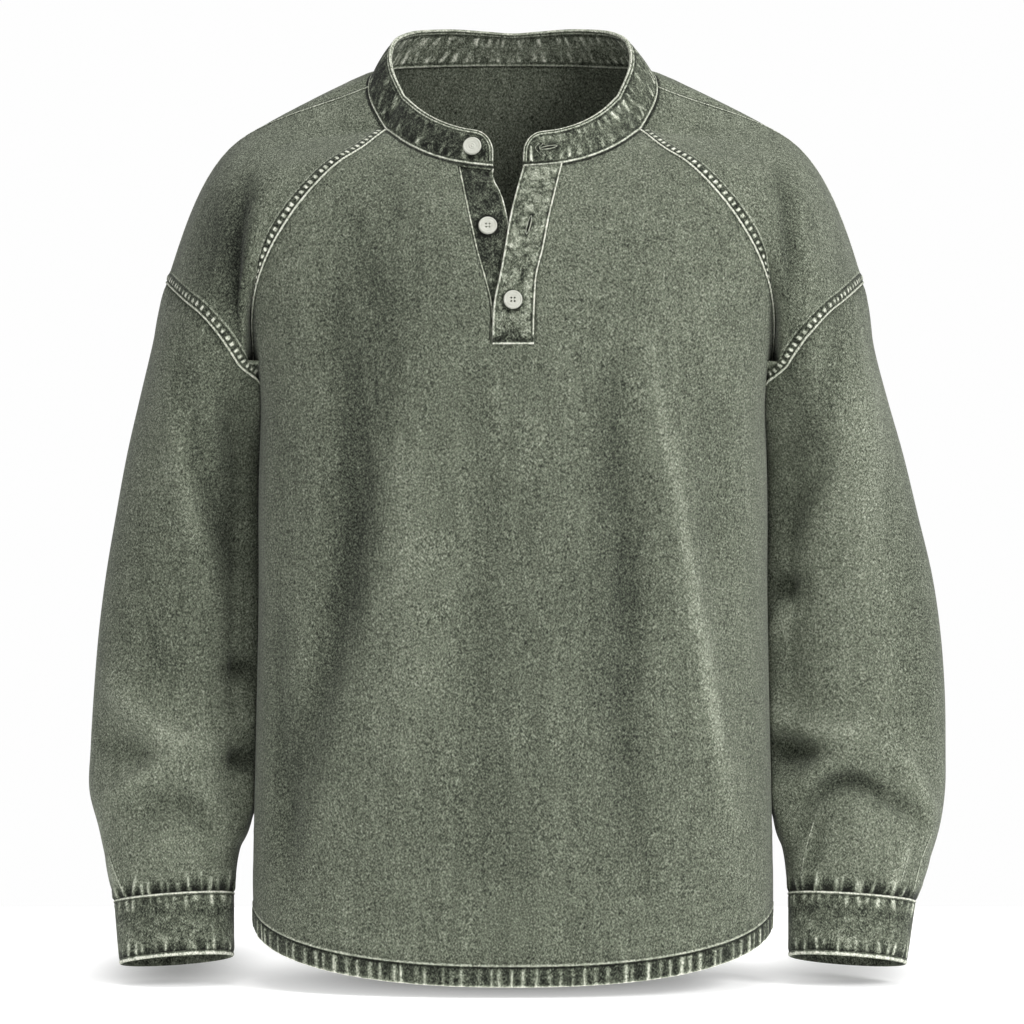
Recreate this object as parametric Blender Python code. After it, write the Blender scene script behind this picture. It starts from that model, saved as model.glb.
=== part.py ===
"""A henley sweatshirt, unbuttoned at the neck, in the form it has when worn.

Every piece that a maker would cut is a wall of cloth of its own: front, back, the two halves of
each shoulder piece, sleeves, cuffs, collar band, hem band, two placket strips, three buttons.
Sizes are in millimetres until the mesh is made. X runs to the viewer's right, Y away from the
viewer, Z up; the origin is in the middle of the neck opening, level with the neck seam's sides.
"""
import math

import bmesh
import bpy
import numpy as np
from mathutils import Vector
from mathutils.geometry import delaunay_2d_cdt

MM = 0.001
CLOTH = 1.6            # wall of a single panel with its seam allowances
DOUBLE = 2.6           # wall of a folded band: collar, cuffs, hem
STRIP = 1.7            # wall of a placket strip
SEAM_GAP = 0.3         # left open between two pieces that are sewn together
STRIP_CLEAR = 0.4      # between a strip and the panel it lies on
SIDE_COLUMNS = 12      # of the front, on each side of the placket slot
BACK_COLUMNS = 22
ARM_COLUMNS = 28       # round a sleeve; from the underarm by the front, the top and the back
RAGLAN_COLUMNS = 10    # of these, along the front raglan seam and along the back one
SHOULDER_STEPS = [4, 4]                              # from the raglan seam out, ring to ring
SLEEVE_STEPS = [2, 2, 2, 2, 2, 2, 2, 1, 1, 1, 1]     # from the drop seam down, ring to ring
SHOULDER_SLOPE = (0.9, 0.0, -0.5)                    # way out along the top, from the neck

# the gathers: a zigzag of twice GATHERS points; how far down, how deep, how much it swells
GATHERS = 28
GATHER_ROWS = [dict(down=0.42, depth=0.35, swell=0.9), dict(down=0.72, depth=0.85, swell=0.6),
               dict(down=1.0, depth=0.8, swell=0.0)]

# torso from the hem up to the underarm: the side seam and the two middles of each level
TORSO = {
    "side_z":  [-688, -672, -640, -590, -500, -420, -340, -262],
    "side_x":  [212, 212, 212, 211, 209, 207.5, 207.5, 206],
    "side_y":  [-6, -6, -6, -6, -5, -5, -4, -2],
    "front_y": [-130, -130.5, -131, -131, -131.5, -133, -135, -136],
    "front_z": [-729, -713, -680, -627, -533, -450, -366, -285],
    "back_y":  [112, 112.5, 113, 113, 113, 114, 118, 121],
    "back_z":  [-721, -705, -672, -621, -528, -444, -355, -262],
    # exponent of the rounded section: 2 is an ellipse, more is squarer
    "square":  [2.35, 2.35, 2.37, 2.4, 2.45, 2.55, 2.68, 2.8],
}
UPPER_SQUARE = {"share": [0, 0.3, 0.6, 1], "square": [2.8, 2.8, 2.65, 2.35]}
HEM_LEVELS = [-688, -680, -672]
BODY_LEVELS = [-672, -650, -625, -600, -574, -547, -520, -493, -466, -439, -412, -385, -358,
               -332, -308, -285, -262]

# middle line of the chest and of the upper back: height against depth
CHEST = {"z": [-285, -250, -215, -180, -150, -120, -100, -78],
         "y": [-136, -135.5, -132.5, -127, -119.5, -108.5, -99, -88]}
NAPE = {"z": [-262, -210, -160, -110, -60, -20, 19],
        "y": [121, 119, 114, 105, 92, 78, 62]}
CHEST_LEVELS = [-285, -263, -240, -218, -197, -177, -157, -137, -117, -97, -78]
NAPE_LEVELS = [-262, -236, -209, -181, -153, -125, -97, -68, -39, -10, 19]

# raglan seams from the underarm to the neck, and the neck seam between them (outward, Y, Z)
UNDERARM = (206, -2, -262)
FRONT_RAGLAN = [UNDERARM, (207.5, -14, -258), (209, -28, -244), (210, -45, -221),
                (209, -65, -192), (201, -85, -160),
                (184, -92, -127), (163, -88, -98), (135, -75, -70), (120, -62, -60), (103, -43, -45)]
BACK_RAGLAN = [UNDERARM, (207, 11, -259), (208, 28, -247), (208, 46, -229), (206, 66, -203), (200, 81, -172),
               (190, 85, -136), (175, 80, -95), (155, 70, -50), (130, 56, -14), (100, 36, 14)]
NECK_SIDE = [(103, -43, -45), (114, -27, -25), (118.5, -12, -10), (117, 0, 2), (112, 17, 9),
             (100, 36, 14)]

# rings that the shoulder passes through on its way out, one row for every second column
SHOULDER_RING = {
    "out": [212, 214, 217, 221, 225, 228.5, 230, 231, 230.5, 229, 226, 222, 218, 214],
    "y":   [-1, -54, -86, -88, -68, -36, -11, 4, 22, 46, 70, 87, 88, 60],
    "z":   [-271, -235, -184, -140, -100, -72, -59, -55, -58, -71, -98, -138, -182, -233],
    "right_top": 3.0,
}
DROP_RING = {
    "out": [218.5, 214, 230, 249, 264, 275, 281.5, 284, 281, 274, 261, 245, 229, 218],
    "y":   [0, -54, -75, -74, -57, -34, -12, 8, 29, 52, 73, 84, 79, 50],
    "z":   [-280, -251, -221, -197, -184, -174, -168, -166, -169, -178, -194, -215, -239, -264],
    "right_top": 3.0,
}
# sleeve rings: inner and outer ends, middle depth, half depth, and how far the front stands up
SLEEVE = {
    "in_x":   [217, 216, 215.5, 215, 215, 215, 215, 215, 216, 219, 226, 228.5],
    "in_z":   [-300, -336, -375, -415, -455, -495, -530, -563, -590, -615, -637, -665],
    "out_x":  [297, 307, 317.5, 327, 335.5, 341.5, 345, 347, 347.5, 339.5, 333.5, 325],
    "out_z":  [-222, -262, -306, -356, -406, -455, -503, -547, -583, -612, -637, -672],
    "mid_y":  [8, 12, 16, 19, 20, 19, 15, 9, 4, -2, -7, -14],
    "deep":   [76, 70, 65, 60, 57, 55, 53, 52, 50, 47, 41, 32],
    "rise":   [0, 0, 0, 0, 0, 1, 2, 3, 4, 5, 6, 6],
    # degrees by which the columns still crowd to the outer side, as on the drop seam
    "crowd":  [22, 18, 13, 8, 3, 0, 0, 0, 0, 0, 0, 0],
    # the arm on the viewer's right hangs a little farther out
    "right_in":  [0, 0, 0, 0, 0, 0, 0, 0, 0, -2, -3, -3],
    "right_out": [0, 1, 3.5, 6.5, 10, 11, 10.5, 8.5, 7, 10, 8, 3],
}
CUFF = {"in_x": 228.0, "in_z": -716.0, "out_x": 320.0, "out_z": -723.0, "mid_y": -22.0,
        "deep": 33.0, "rise": 7.0, "crowd": 0.0, "right_in": -3.0, "right_out": 0.0}

# collar: how far its top leans in and stands up, by the angle round the neck from the front
COLLAR = {"angle": [-45, 0, 45, 90, 130, 160, 180, 200],
          "lean":  [12, 9, 12, 18, 20, 17.5, 16.5, 17.5],
          "rise":  [28.5, 28.5, 28.5, 28.5, 30, 26.5, 25, 26.5]}
COLLAR_END = {"left": -16.0, "right": 8.0, "round": 20.0, "square_part": 0.3, "power": 2.2}
COLLAR_END_COLUMNS = [0, 1.5, 4, 8, 13, 20]    # distances from an end
COLLAR_LEVELS = (0, 0.33, 0.67, 1.0)
COLLAR_BOW = 1.6
COLLAR_RIGHT_LEAN = 4.0     # the viewer's right side leans in farther
NECK_MIDDLE_Y = -12.0

# the slot and its strips, by height: seam edge and free edge of each strip
SLOT = {"z":     [-222, -187, -167, -147, -118, -95, -78],
        "under_seam": [-18.2, -19.1, -24.1, -29.7, -36.3, -41.4, -45.1],
        "under_free": [13.5, 10, 6, 1, -4.4, -11.5, -15.8],
        "over_free":  [-16.3, -14.9, -10.7, -7, -2.2, 3.4, 8.1],
        "over_seam":  [16.5, 17.5, 19, 23.9, 29.7, 35.5, 39.9]}
SLOT_BOTTOM = -218.0
SLOT_TOP = -78.0
TUCK = 2.2             # how far a strip and the panel's raw edge lie over each other
OVER_HANG = 4.0        # how far the strips reach below the slot
UNDER_HANG = 3.0
STRIP_TOP_GAP = 0.6    # below the collar

# folds: + stands out, - sinks in; path points are (X, Z)
BODY_FOLDS = [
    dict(name="left_pull", face="front", depth=-6.0, width=15,
         path=[(-148, -181), (-125, -259), (-133, -388), (-159, -507), (-185, -622)]),
    dict(name="placket_drop", face="front", depth=-4.0, width=15,
         path=[(-28, -215), (-26, -290), (-28, -414), (-31, -517), (-21, -636)]),
    dict(name="right_pull", face="front", depth=-6.0, width=16,
         path=[(80, -229), (82, -321), (92, -429), (90, -543), (106, -646)]),
    dict(name="right_ridge", face="front", depth=5.0, width=12,
         path=[(113, -262), (127, -331), (142, -424), (158, -517), (177, -590)]),
    dict(name="left_swell", face="front", depth=2.5, width=20,
         path=[(-86, -290), (-84, -450), (-92, -620)]),
    dict(name="middle_swell", face="front", depth=2.0, width=20,
         path=[(28, -260), (30, -420), (32, -610)]),
    dict(name="back_left_pull", face="back", depth=-5.0, width=16,
         path=[(-128, -170), (-108, -300), (-112, -450), (-138, -610)]),
    dict(name="back_middle", face="back", depth=-3.0, width=18,
         path=[(12, -210), (18, -360), (10, -520)]),
    dict(name="back_right_pull", face="back", depth=-5.5, width=15,
         path=[(136, -160), (104, -290), (96, -440), (122, -600)]),
    dict(name="back_ridge", face="back", depth=3.0, width=14,
         path=[(-62, -260), (-56, -420), (-70, -580)]),
]
ARM_FOLDS = [
    dict(name="left_armhole_crease", face="front", depth=-4.0, width=9,
         path=[(-221, -86), (-223, -150), (-219, -205)]),
    dict(name="right_armhole_crease", face="front", depth=-4.0, width=9,
         path=[(221, -82), (223, -140), (219, -188)]),
    dict(name="left_upper_valley", face="front", depth=-4.0, width=13,
         path=[(-266, -225), (-253, -336), (-228, -392)]),
    dict(name="left_upper_ridge", face="front", depth=3.0, width=13,
         path=[(-284, -270), (-270, -380), (-250, -445)]),
    dict(name="left_elbow", face="front", depth=4.0, width=12,
         path=[(-322, -502), (-276, -542), (-240, -545)]),
    dict(name="left_wrist_arch", face="front", depth=-4.5, width=11,
         path=[(-322, -598), (-286, -584), (-248, -602)]),
    dict(name="right_upper_valley", face="front", depth=-4.0, width=13,
         path=[(268, -205), (246, -309), (224, -376)]),
    dict(name="right_upper_ridge", face="front", depth=3.0, width=16,
         path=[(289, -235), (284, -362), (284, -442)]),
    dict(name="right_elbow", face="front", depth=3.5, width=12,
         path=[(225, -520), (268, -535), (300, -520)]),
    dict(name="right_wrist_arch", face="front", depth=-6.0, width=12,
         path=[(240, -584), (279, -572), (334, -600)]),
    dict(name="right_wrist_swell", face="front", depth=4.0, width=14,
         path=[(250, -606), (284, -606), (320, -616)]),
    dict(name="left_back_elbow", face="back", depth=-4.5, width=13,
         path=[(-322, -470), (-280, -500), (-240, -486)]),
    dict(name="left_back_wrist", face="back", depth=-4.0, width=12,
         path=[(-318, -590), (-280, -574), (-244, -594)]),
    dict(name="right_back_elbow", face="back", depth=-4.5, width=13,
         path=[(326, -476), (284, -506), (242, -490)]),
    dict(name="right_back_wrist", face="back", depth=-4.0, width=12,
         path=[(328, -594), (286, -578), (246, -598)]),
]


# ------------------------------------------------------------------ curves

def unit(vector):
    vector = np.asarray(vector, float)
    return vector / max(np.linalg.norm(vector), 1e-9)


def slopes(knots, values):
    """Tangents of a smooth curve through values at uneven knots."""
    step = np.diff(knots)[:, None]
    rate = np.diff(values, axis=0) / step
    inner = (rate[:-1] * step[1:] + rate[1:] * step[:-1]) / (step[:-1] + step[1:])
    return np.vstack([rate[:1], inner, rate[-1:]])


def smooth(knots, values, at, first=None):
    """Values at `at` on the smooth curve; `first` sets the tangent it starts with."""
    knots = np.asarray(knots, float)
    values = np.asarray(values, float).reshape(len(knots), -1)
    at = np.atleast_1d(np.asarray(at, float))
    tangent = slopes(knots, values)
    if first is not None:
        tangent[0] = first
    cell = np.clip(np.searchsorted(knots, at, side="right") - 1, 0, len(knots) - 2)
    span = (knots[cell + 1] - knots[cell])[:, None]
    s = np.clip((at - knots[cell]) / span[:, 0], 0, 1)[:, None]
    return (values[cell] * (2 * s**3 - 3 * s**2 + 1) + values[cell + 1] * (3 * s**2 - 2 * s**3)
            + span * (tangent[cell] * (s**3 - 2 * s**2 + s) + tangent[cell + 1] * (s**3 - s**2)))


def column(table, key, name, at):
    """One named column of a table, read at a value of its key column."""
    return float(smooth(table[key], table[name], at)[0, 0])


def even(points, count):
    """`count` + 1 evenly spaced points along a smooth line through points."""
    points = np.asarray(points, float)
    knots = np.concatenate([[0], np.cumsum(np.linalg.norm(np.diff(points, axis=0), axis=1))])
    fine = smooth(knots, points, np.linspace(0, knots[-1], 400))
    length = np.concatenate([[0], np.cumsum(np.linalg.norm(np.diff(fine, axis=0), axis=1))])
    want = np.linspace(0, length[-1], count + 1)
    return np.stack([np.interp(want, length, fine[:, axis]) for axis in range(3)], axis=1)


# ------------------------------------------------------------------ torso rows

class Row:
    """One level of the front or the back: from its edge by the middle to the other edge."""

    def __init__(self, edge, middle, root_y, power, square):
        self.edge, self.middle, self.root_y, self.power = edge, middle, root_y, power
        self.square = square
        self.sign = 1.0 if middle[1] > root_y else -1.0
        self.deep = abs(middle[1] - root_y)
        self.start = min(0.97, max(0.0, self.sign * (edge[1] - root_y)) / self.deep)
        self.wide = edge[0] / (1 - self.start**square) ** (1 / square)

    def at_x(self, x):
        """The point of this level at a distance x from the middle plane."""
        ratio = min(abs(x) / self.wide, 1.0)
        depth = (1 - ratio**self.square) ** (1 / self.square)
        share = max(0.0, (depth - self.start) / (1 - self.start))
        z = self.edge[2] + (self.middle[2] - self.edge[2]) * share**self.power
        return np.array([x, self.root_y + self.sign * self.deep * depth, z])

    def spread(self, x_from, x_to, count):
        """count + 1 values of x from one to the other, evenly round the section."""
        bend = self.square / 2
        angles = [math.acos(np.clip(np.sign(x) * min(abs(x) / self.wide, 1.0) ** bend, -1, 1))
                  for x in (x_from, x_to)]
        cosines = np.cos(np.linspace(angles[0], angles[1], count + 1))
        return np.sign(cosines) * self.wide * np.abs(cosines) ** (1 / bend)


def torso_row(side_z, face):
    get = lambda name: column(TORSO, "side_z", name, side_z)
    edge = np.array([get("side_x"), get("side_y"), side_z])
    return Row(edge, (0, get(face + "_y"), get(face + "_z")), edge[1], 1.2, get("square"))


def upper_row(share, face):
    """A level above the underarm; share is 0 there and 1 at the neck seam."""
    table, levels, raglan = ((CHEST, CHEST_LEVELS, FRONT_EDGE) if face == "front"
                             else (NAPE, NAPE_LEVELS, BACK_EDGE))
    steps = np.linspace(0, 1, RAGLAN_COLUMNS + 1)
    edge = smooth(steps, raglan, share)[0]
    z = float(smooth(steps, levels, share)[0, 0])
    root = -2.0 + 2.0 * share
    square = column(UPPER_SQUARE, "share", "square", share)
    return Row(edge, (0, column(table, "z", "y", z), z), root, 1.2 + 0.05 * share, square)


FRONT_EDGE = even(FRONT_RAGLAN, RAGLAN_COLUMNS)
BACK_EDGE = even(BACK_RAGLAN, RAGLAN_COLUMNS)
NECK_EDGE = even(NECK_SIDE, ARM_COLUMNS - 2 * RAGLAN_COLUMNS)


def slot_at(z):
    z = min(max(z, SLOT["z"][0]), SLOT["z"][-1])
    return {name: column(SLOT, "z", name, z) for name in SLOT if name != "z"}


def share_at(z):
    """Share of the upper front whose middle is at height z."""
    return float(np.interp(z, CHEST_LEVELS, np.linspace(0, 1, RAGLAN_COLUMNS + 1)))


# ------------------------------------------------------------------ sewing the surface

class Surface:
    """All panels in one skin: shared points on the seams, so that their normals agree."""

    def __init__(self):
        self.points, self.index, self.faces = [], {}, {}
        self.body = set()

    def point(self, xyz, body=False):
        key = tuple(np.round(np.asarray(xyz, float), 4))
        if key not in self.index:
            self.index[key] = len(self.points)
            self.points.append(np.asarray(xyz, float))
        if body:
            self.body.add(self.index[key])
        return self.index[key]

    def grid(self, node, rows, flip=False, hole=None, body=False, around=False):
        """Faces between rows of points, all the same way out."""
        ids = [[self.point(p, body) for p in row] for row in rows]
        faces = self.faces.setdefault(node, [])
        for r in range(len(ids) - 1):
            count = len(ids[r])
            for c in range(count if around else count - 1):
                if hole and hole(r, c):
                    continue
                d = (c + 1) % count
                quad = (ids[r][c], ids[r][d], ids[r + 1][d], ids[r + 1][c])
                faces.append(quad[::-1] if flip else quad)
        return ids

    def normals(self):
        points = np.array(self.points)
        total = np.zeros_like(points)
        for faces in self.faces.values():
            for face in faces:
                for k in range(len(face)):
                    a, b, c = face[k - 1], face[k], face[(k + 1) % len(face)]
                    u, v = points[a] - points[b], points[c] - points[b]
                    cross = np.cross(v, u)
                    size = np.linalg.norm(cross)
                    if size > 1e-9:
                        angle = math.atan2(size, float(np.dot(u, v)))
                        total[b] += cross / size * angle
        return total / np.maximum(np.linalg.norm(total, axis=1, keepdims=True), 1e-9)


def fold_offset(points, normals, folds):
    """How far each point is moved along its normal by the folds near it."""
    moved = np.zeros(len(points))
    flat = points[:, [0, 2]]
    for fold in folds:
        path = even([(x, 0, z) for x, z in fold["path"]], 24)[:, [0, 2]]
        away = np.full(len(points), 1e9)
        place = np.zeros(len(points))
        for k in range(len(path) - 1):
            line = path[k + 1] - path[k]
            s = np.clip(((flat - path[k]) @ line) / (line @ line), 0, 1)
            gap = np.linalg.norm(flat - path[k] - s[:, None] * line, axis=1)
            nearer = gap < away
            away[nearer], place[nearer] = gap[nearer], (k + s[nearer]) / (len(path) - 1)
        turn = -normals[:, 1] if fold["face"] == "front" else normals[:, 1]
        facing = np.clip((turn - 0.15) / 0.45, 0, 1)
        taper = np.sin(np.pi * np.clip(0.06 + 0.88 * place, 0, 1)) ** 0.6
        moved += fold["depth"] * taper * np.exp(-(away / fold["width"]) ** 2) * facing
    return moved


# ------------------------------------------------------------------ the panels

def front_columns(row, slot):
    """x of every column of the front: the left side, the slot's own columns, the right side."""
    left, right = slot["under_seam"], slot["over_seam"]
    inside = right - TUCK
    middle = [left, slot["over_free"], slot["over_free"] + (inside - slot["over_free"]) / 3,
              slot["over_free"] + 2 * (inside - slot["over_free"]) / 3, inside, right]
    return np.concatenate([row.spread(-row.edge[0], left - TUCK, SIDE_COLUMNS), middle,
                           row.spread(right, row.edge[0], SIDE_COLUMNS)[1:]])


SLOT_COLUMNS = range(SIDE_COLUMNS + 1, SIDE_COLUMNS + 5)    # missing above the slot's bottom


def front_grid():
    rows = [torso_row(z, "front") for z in BODY_LEVELS]
    rows += [upper_row(s, "front") for s in np.linspace(0, 1, RAGLAN_COLUMNS + 1)[1:]]
    return [[row.at_x(x) for x in front_columns(row, slot_at(row.middle[2]))] for row in rows]


def hem_grid(face):
    rows = [torso_row(z, face) for z in HEM_LEVELS]
    if face == "front":
        return [[row.at_x(x) for x in front_columns(row, slot_at(row.middle[2]))] for row in rows]
    return [[row.at_x(x) for x in row.spread(-row.edge[0], row.edge[0], BACK_COLUMNS)] for row in rows]


def back_grid():
    rows = [torso_row(z, "back") for z in BODY_LEVELS]
    rows += [upper_row(s, "back") for s in np.linspace(0, 1, RAGLAN_COLUMNS + 1)[1:]]
    return [[row.at_x(x) for x in row.spread(-row.edge[0], row.edge[0], BACK_COLUMNS)] for row in rows]


def ring_table(table, right):
    """The ring's 28 points from its 14 rows."""
    data = np.array([table["out"], table["y"], table["z"]], float).T
    if right:
        reach = (data[:, 0] - data[:, 0].min()) / np.ptp(data[:, 0])
        data[:, 0] += table["right_top"] * reach
    wrapped = np.vstack([data[-2:], data, data[:3]])
    return smooth(np.arange(-4, 2 * len(data) + 5, 2), wrapped, np.arange(ARM_COLUMNS))


def sleeve_ring(table, k, right, columns):
    get = lambda name: (table[name][k] if isinstance(table[name], list) else table[name])
    inner = np.array([get("in_x") + (get("right_in") if right else 0), 0, get("in_z")])
    outer = np.array([get("out_x") + (get("right_out") if right else 0), 0, get("out_z")])
    angle = np.arange(columns) * 2 * math.pi / columns
    angle = angle + math.radians(get("crowd")) * np.sin(angle)
    ring = (inner + outer) / 2 - np.cos(angle)[:, None] * (outer - inner) / 2
    ring[:, 1] += get("mid_y") - get("deep") * np.sin(angle)
    ring[:, 2] += get("rise") * np.sin(angle)
    return ring


def loop_zero():
    """Raglan and neck seams as one closed ring of 28 points, from the underarm by the front."""
    return np.vstack([FRONT_EDGE[:-1], NECK_EDGE[:-1], BACK_EDGE[::-1][:-1]])


def panel_normal(share, face):
    """Which way the front or back faces at its raglan edge."""
    row = upper_row(share, face)
    low = upper_row(share - 0.03, face) if share > 0.03 else torso_row(UNDERARM[2] - 6, face)
    x = row.edge[0]
    here = row.at_x(x)
    inside = row.at_x(row.spread(x, 0, 40)[1])
    below = low.at_x(min(x / row.wide, 1.0) * low.wide)
    return unit(np.cross(here - inside, here - below))


def first_tangents(ring, following):
    """How the shoulder leaves each point of the raglan and neck seams."""
    first, last = RAGLAN_COLUMNS, ARM_COLUMNS - RAGLAN_COLUMNS
    slope = unit(SHOULDER_SLOPE)
    out = []
    for k in range(ARM_COLUMNS):
        if first < k < last:
            out.append(slope)
            continue
        face = "front" if k <= first else "back"
        share = (k if face == "front" else ARM_COLUMNS - k) / RAGLAN_COLUMNS
        along = ring[(k + 1) % ARM_COLUMNS] - ring[k - 1]
        across = unit(np.cross(along, panel_normal(share, face)))
        out.append(across if across @ (1, 1 if face == "front" else -1, 1) > 0 else -across)
    out = np.array(out)
    for k in range(first + 1, last):
        share = 1 - abs(2 * k - first - last) / (last - first)
        near = out[first] if 2 * k <= first + last else out[last]
        out[k] = unit(near * (1 - share) + slope * share)
    for _ in range(2):
        out = out / 2 + (np.roll(out, 1, axis=0) + np.roll(out, -1, axis=0)) / 4
    reach = np.linalg.norm(following - ring, axis=1, keepdims=True)
    return out * reach * 0.8


def arm_rows(right):
    """Rows of points round the arm: the shoulder, then the sleeve down to the gathers."""
    rings = [loop_zero(), ring_table(SHOULDER_RING, right), ring_table(DROP_RING, right)]
    rings += [sleeve_ring(SLEEVE, k, right, ARM_COLUMNS) for k in range(len(SLEEVE["in_x"]))]
    tangents = first_tangents(rings[0], rings[1])
    rings = np.array(rings)
    lengths = np.linalg.norm(np.diff(rings, axis=0), axis=2).mean(axis=1)
    knots = np.concatenate([[0], np.cumsum(lengths)])
    steps = SHOULDER_STEPS + SLEEVE_STEPS
    at = np.concatenate([np.linspace(knots[k], knots[k + 1], steps[k] + 1)[:-1]
                         for k in range(len(steps))] + [[knots[len(steps)]]])
    rows = []
    for value in at:
        row = [smooth(knots, rings[:, c], value, tangents[c] / lengths[0])[0]
               for c in range(ARM_COLUMNS)]
        rows.append(np.array(row))
    return rows


def gather_rows(last_row, right):
    """Twice the columns, in a zigzag that is deepest beside the cuff seam."""
    seam = sleeve_ring(SLEEVE, len(SLEEVE["in_x"]) - 1, right, 2 * GATHERS)
    above = np.repeat(last_row, 2, axis=0)
    above[1::2] = (last_row + np.roll(last_row, -1, axis=0)) / 2
    middle = seam.mean(axis=0)
    radial = seam - middle
    radial /= np.linalg.norm(radial, axis=1, keepdims=True)
    place = np.arange(2 * GATHERS)
    uneven = 1 + 0.35 * np.sin(place * 1.7) + 0.2 * np.sin(place * 0.6)
    wave = np.where(place % 2 == 0, 1.0, -1.0) * uneven
    rows = []
    for step in GATHER_ROWS:
        base = above + (seam - above) * step["down"] + radial * step["swell"]
        rows.append(base + radial * (wave * step["depth"])[:, None])
    return rows


def side(points, sign):
    """Points given outward, placed on the viewer's left (-1) or right (+1)."""
    placed = np.array(points, float)
    placed[..., 0] *= sign
    return placed


def build_surface():
    skin = Surface()
    front = front_grid()
    slot_row = BODY_LEVELS.index(-262) + CHEST_LEVELS.index(SLOT_BOTTOM)
    skin.grid("front", front, body=True,
              hole=lambda r, c: r >= slot_row and c in SLOT_COLUMNS)
    skin.grid("hem_front", hem_grid("front"), body=True)
    skin.grid("back", back_grid(), flip=True, body=True)
    skin.grid("hem_back", hem_grid("back"), flip=True, body=True)
    half = ARM_COLUMNS // 2
    for name, sign, right in (("left", -1, False), ("right", 1, True)):
        rows = arm_rows(right)
        flip = sign > 0
        drop = sum(SHOULDER_STEPS)
        shoulder = [side(row, sign) for row in rows[:drop + 1]]
        skin.grid("shoulder_front_" + name, [row[:half + 1] for row in shoulder], flip=flip)
        skin.grid("shoulder_back_" + name,
                  [np.vstack([row[half:], row[:1]]) for row in shoulder], flip=flip)
        sleeve = "sleeve_" + name
        ids = skin.grid(sleeve, [side(row, sign) for row in rows[drop:]], flip=flip, around=True)
        gathers = skin.grid(sleeve, [side(row, sign) for row in gather_rows(rows[-1], right)],
                            flip=flip, around=True)
        top, low = ids[-1], gathers[0]
        for c in range(ARM_COLUMNS):
            d = (c + 1) % ARM_COLUMNS
            low_a, low_b, low_c = low[2 * c], low[2 * c + 1], low[(2 * c + 2) % (2 * ARM_COLUMNS)]
            for face in ((top[c], low_b, low_a), (top[c], top[d], low_b), (top[d], low_c, low_b)):
                skin.faces[sleeve].append(face[::-1] if flip else face)
        seam = sleeve_ring(SLEEVE, len(SLEEVE["in_x"]) - 1, right, ARM_COLUMNS)
        mouth = sleeve_ring(CUFF, 0, right, ARM_COLUMNS)
        seam[:, 2] -= 0.01
        band = [side(seam + (mouth - seam) * s, sign) for s in (0, 0.5, 1)]
        skin.grid("cuff_" + name, band, flip=flip, around=True)
    collar_grid(skin)
    return skin


def neck_line():
    """The neck seam from the collar's left end round the back to its right end."""
    front_row, back_row = upper_row(1.0, "front"), upper_row(1.0, "back")
    columns = front_columns(front_row, slot_at(SLOT_TOP))
    left = [x for x in columns if x <= slot_at(SLOT_TOP)["under_seam"] + 1e-6]
    right = [x for x in columns if x >= slot_at(SLOT_TOP)["over_seam"] - TUCK - 1e-6]
    ends = [[COLLAR_END["left"] - s for s in COLLAR_END_COLUMNS],
            [COLLAR_END["right"] + s for s in COLLAR_END_COLUMNS]]
    line = [front_row.at_x(x) for x in ends[0]]
    line += [front_row.at_x(x) for x in left[::-1]]
    line += list(side(NECK_EDGE, -1))[1:-1]
    line += [back_row.at_x(x) for x in back_row.spread(-back_row.edge[0], back_row.edge[0], BACK_COLUMNS)]
    line += list(side(NECK_EDGE, 1))[::-1][1:-1]
    line += [front_row.at_x(x) for x in right[::-1]]
    line += [front_row.at_x(x) for x in ends[1][::-1]]
    return line


def collar_top(base):
    """Where the collar's top edge stands over a point of the neck seam."""
    radial = unit(base[:2] - (0, NECK_MIDDLE_Y))
    angle = math.degrees(math.atan2(abs(radial[0]), -radial[1]))
    lean = column(COLLAR, "angle", "lean", angle)
    lean += COLLAR_RIGHT_LEAN * max(radial[0], 0.0) ** 2
    rise = column(COLLAR, "angle", "rise", angle)
    return base + np.array([-radial[0] * lean, -radial[1] * lean, rise])


def collar_share(base):
    """Height left to the collar near its rounded ends, as a share of the full height."""
    if base[1] > -60:
        return 1.0
    away = COLLAR_END["left"] - base[0] if base[0] < -4 else base[0] - COLLAR_END["right"]
    s = min(max(away / COLLAR_END["round"], 0), 1)
    keep = COLLAR_END["square_part"]
    power = COLLAR_END["power"]
    return keep + (1 - keep) * (1 - (1 - s) ** power) ** (1 / power)


def collar_point(base, up):
    up = up * collar_share(base)
    bow = COLLAR_BOW * math.sin(math.pi * up)
    radial = unit(np.array([base[0], base[1] - NECK_MIDDLE_Y, 0]))
    return base + (collar_top(base) - base) * up + radial * bow


def collar_grid(skin):
    line = neck_line()
    skin.grid("collar", [[collar_point(p, u) for p in line] for u in COLLAR_LEVELS],
              flip=True)


# ------------------------------------------------------------------ from skin to walls

def triangles(faces, points):
    out = []
    for face in faces:
        if len(face) == 3:
            out.append(face)
            continue
        a, b, c, d = face
        if np.linalg.norm(points[a] - points[c]) <= np.linalg.norm(points[b] - points[d]):
            out += [(a, b, c), (a, c, d)]
        else:
            out += [(a, b, d), (b, c, d)]
    return out


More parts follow.
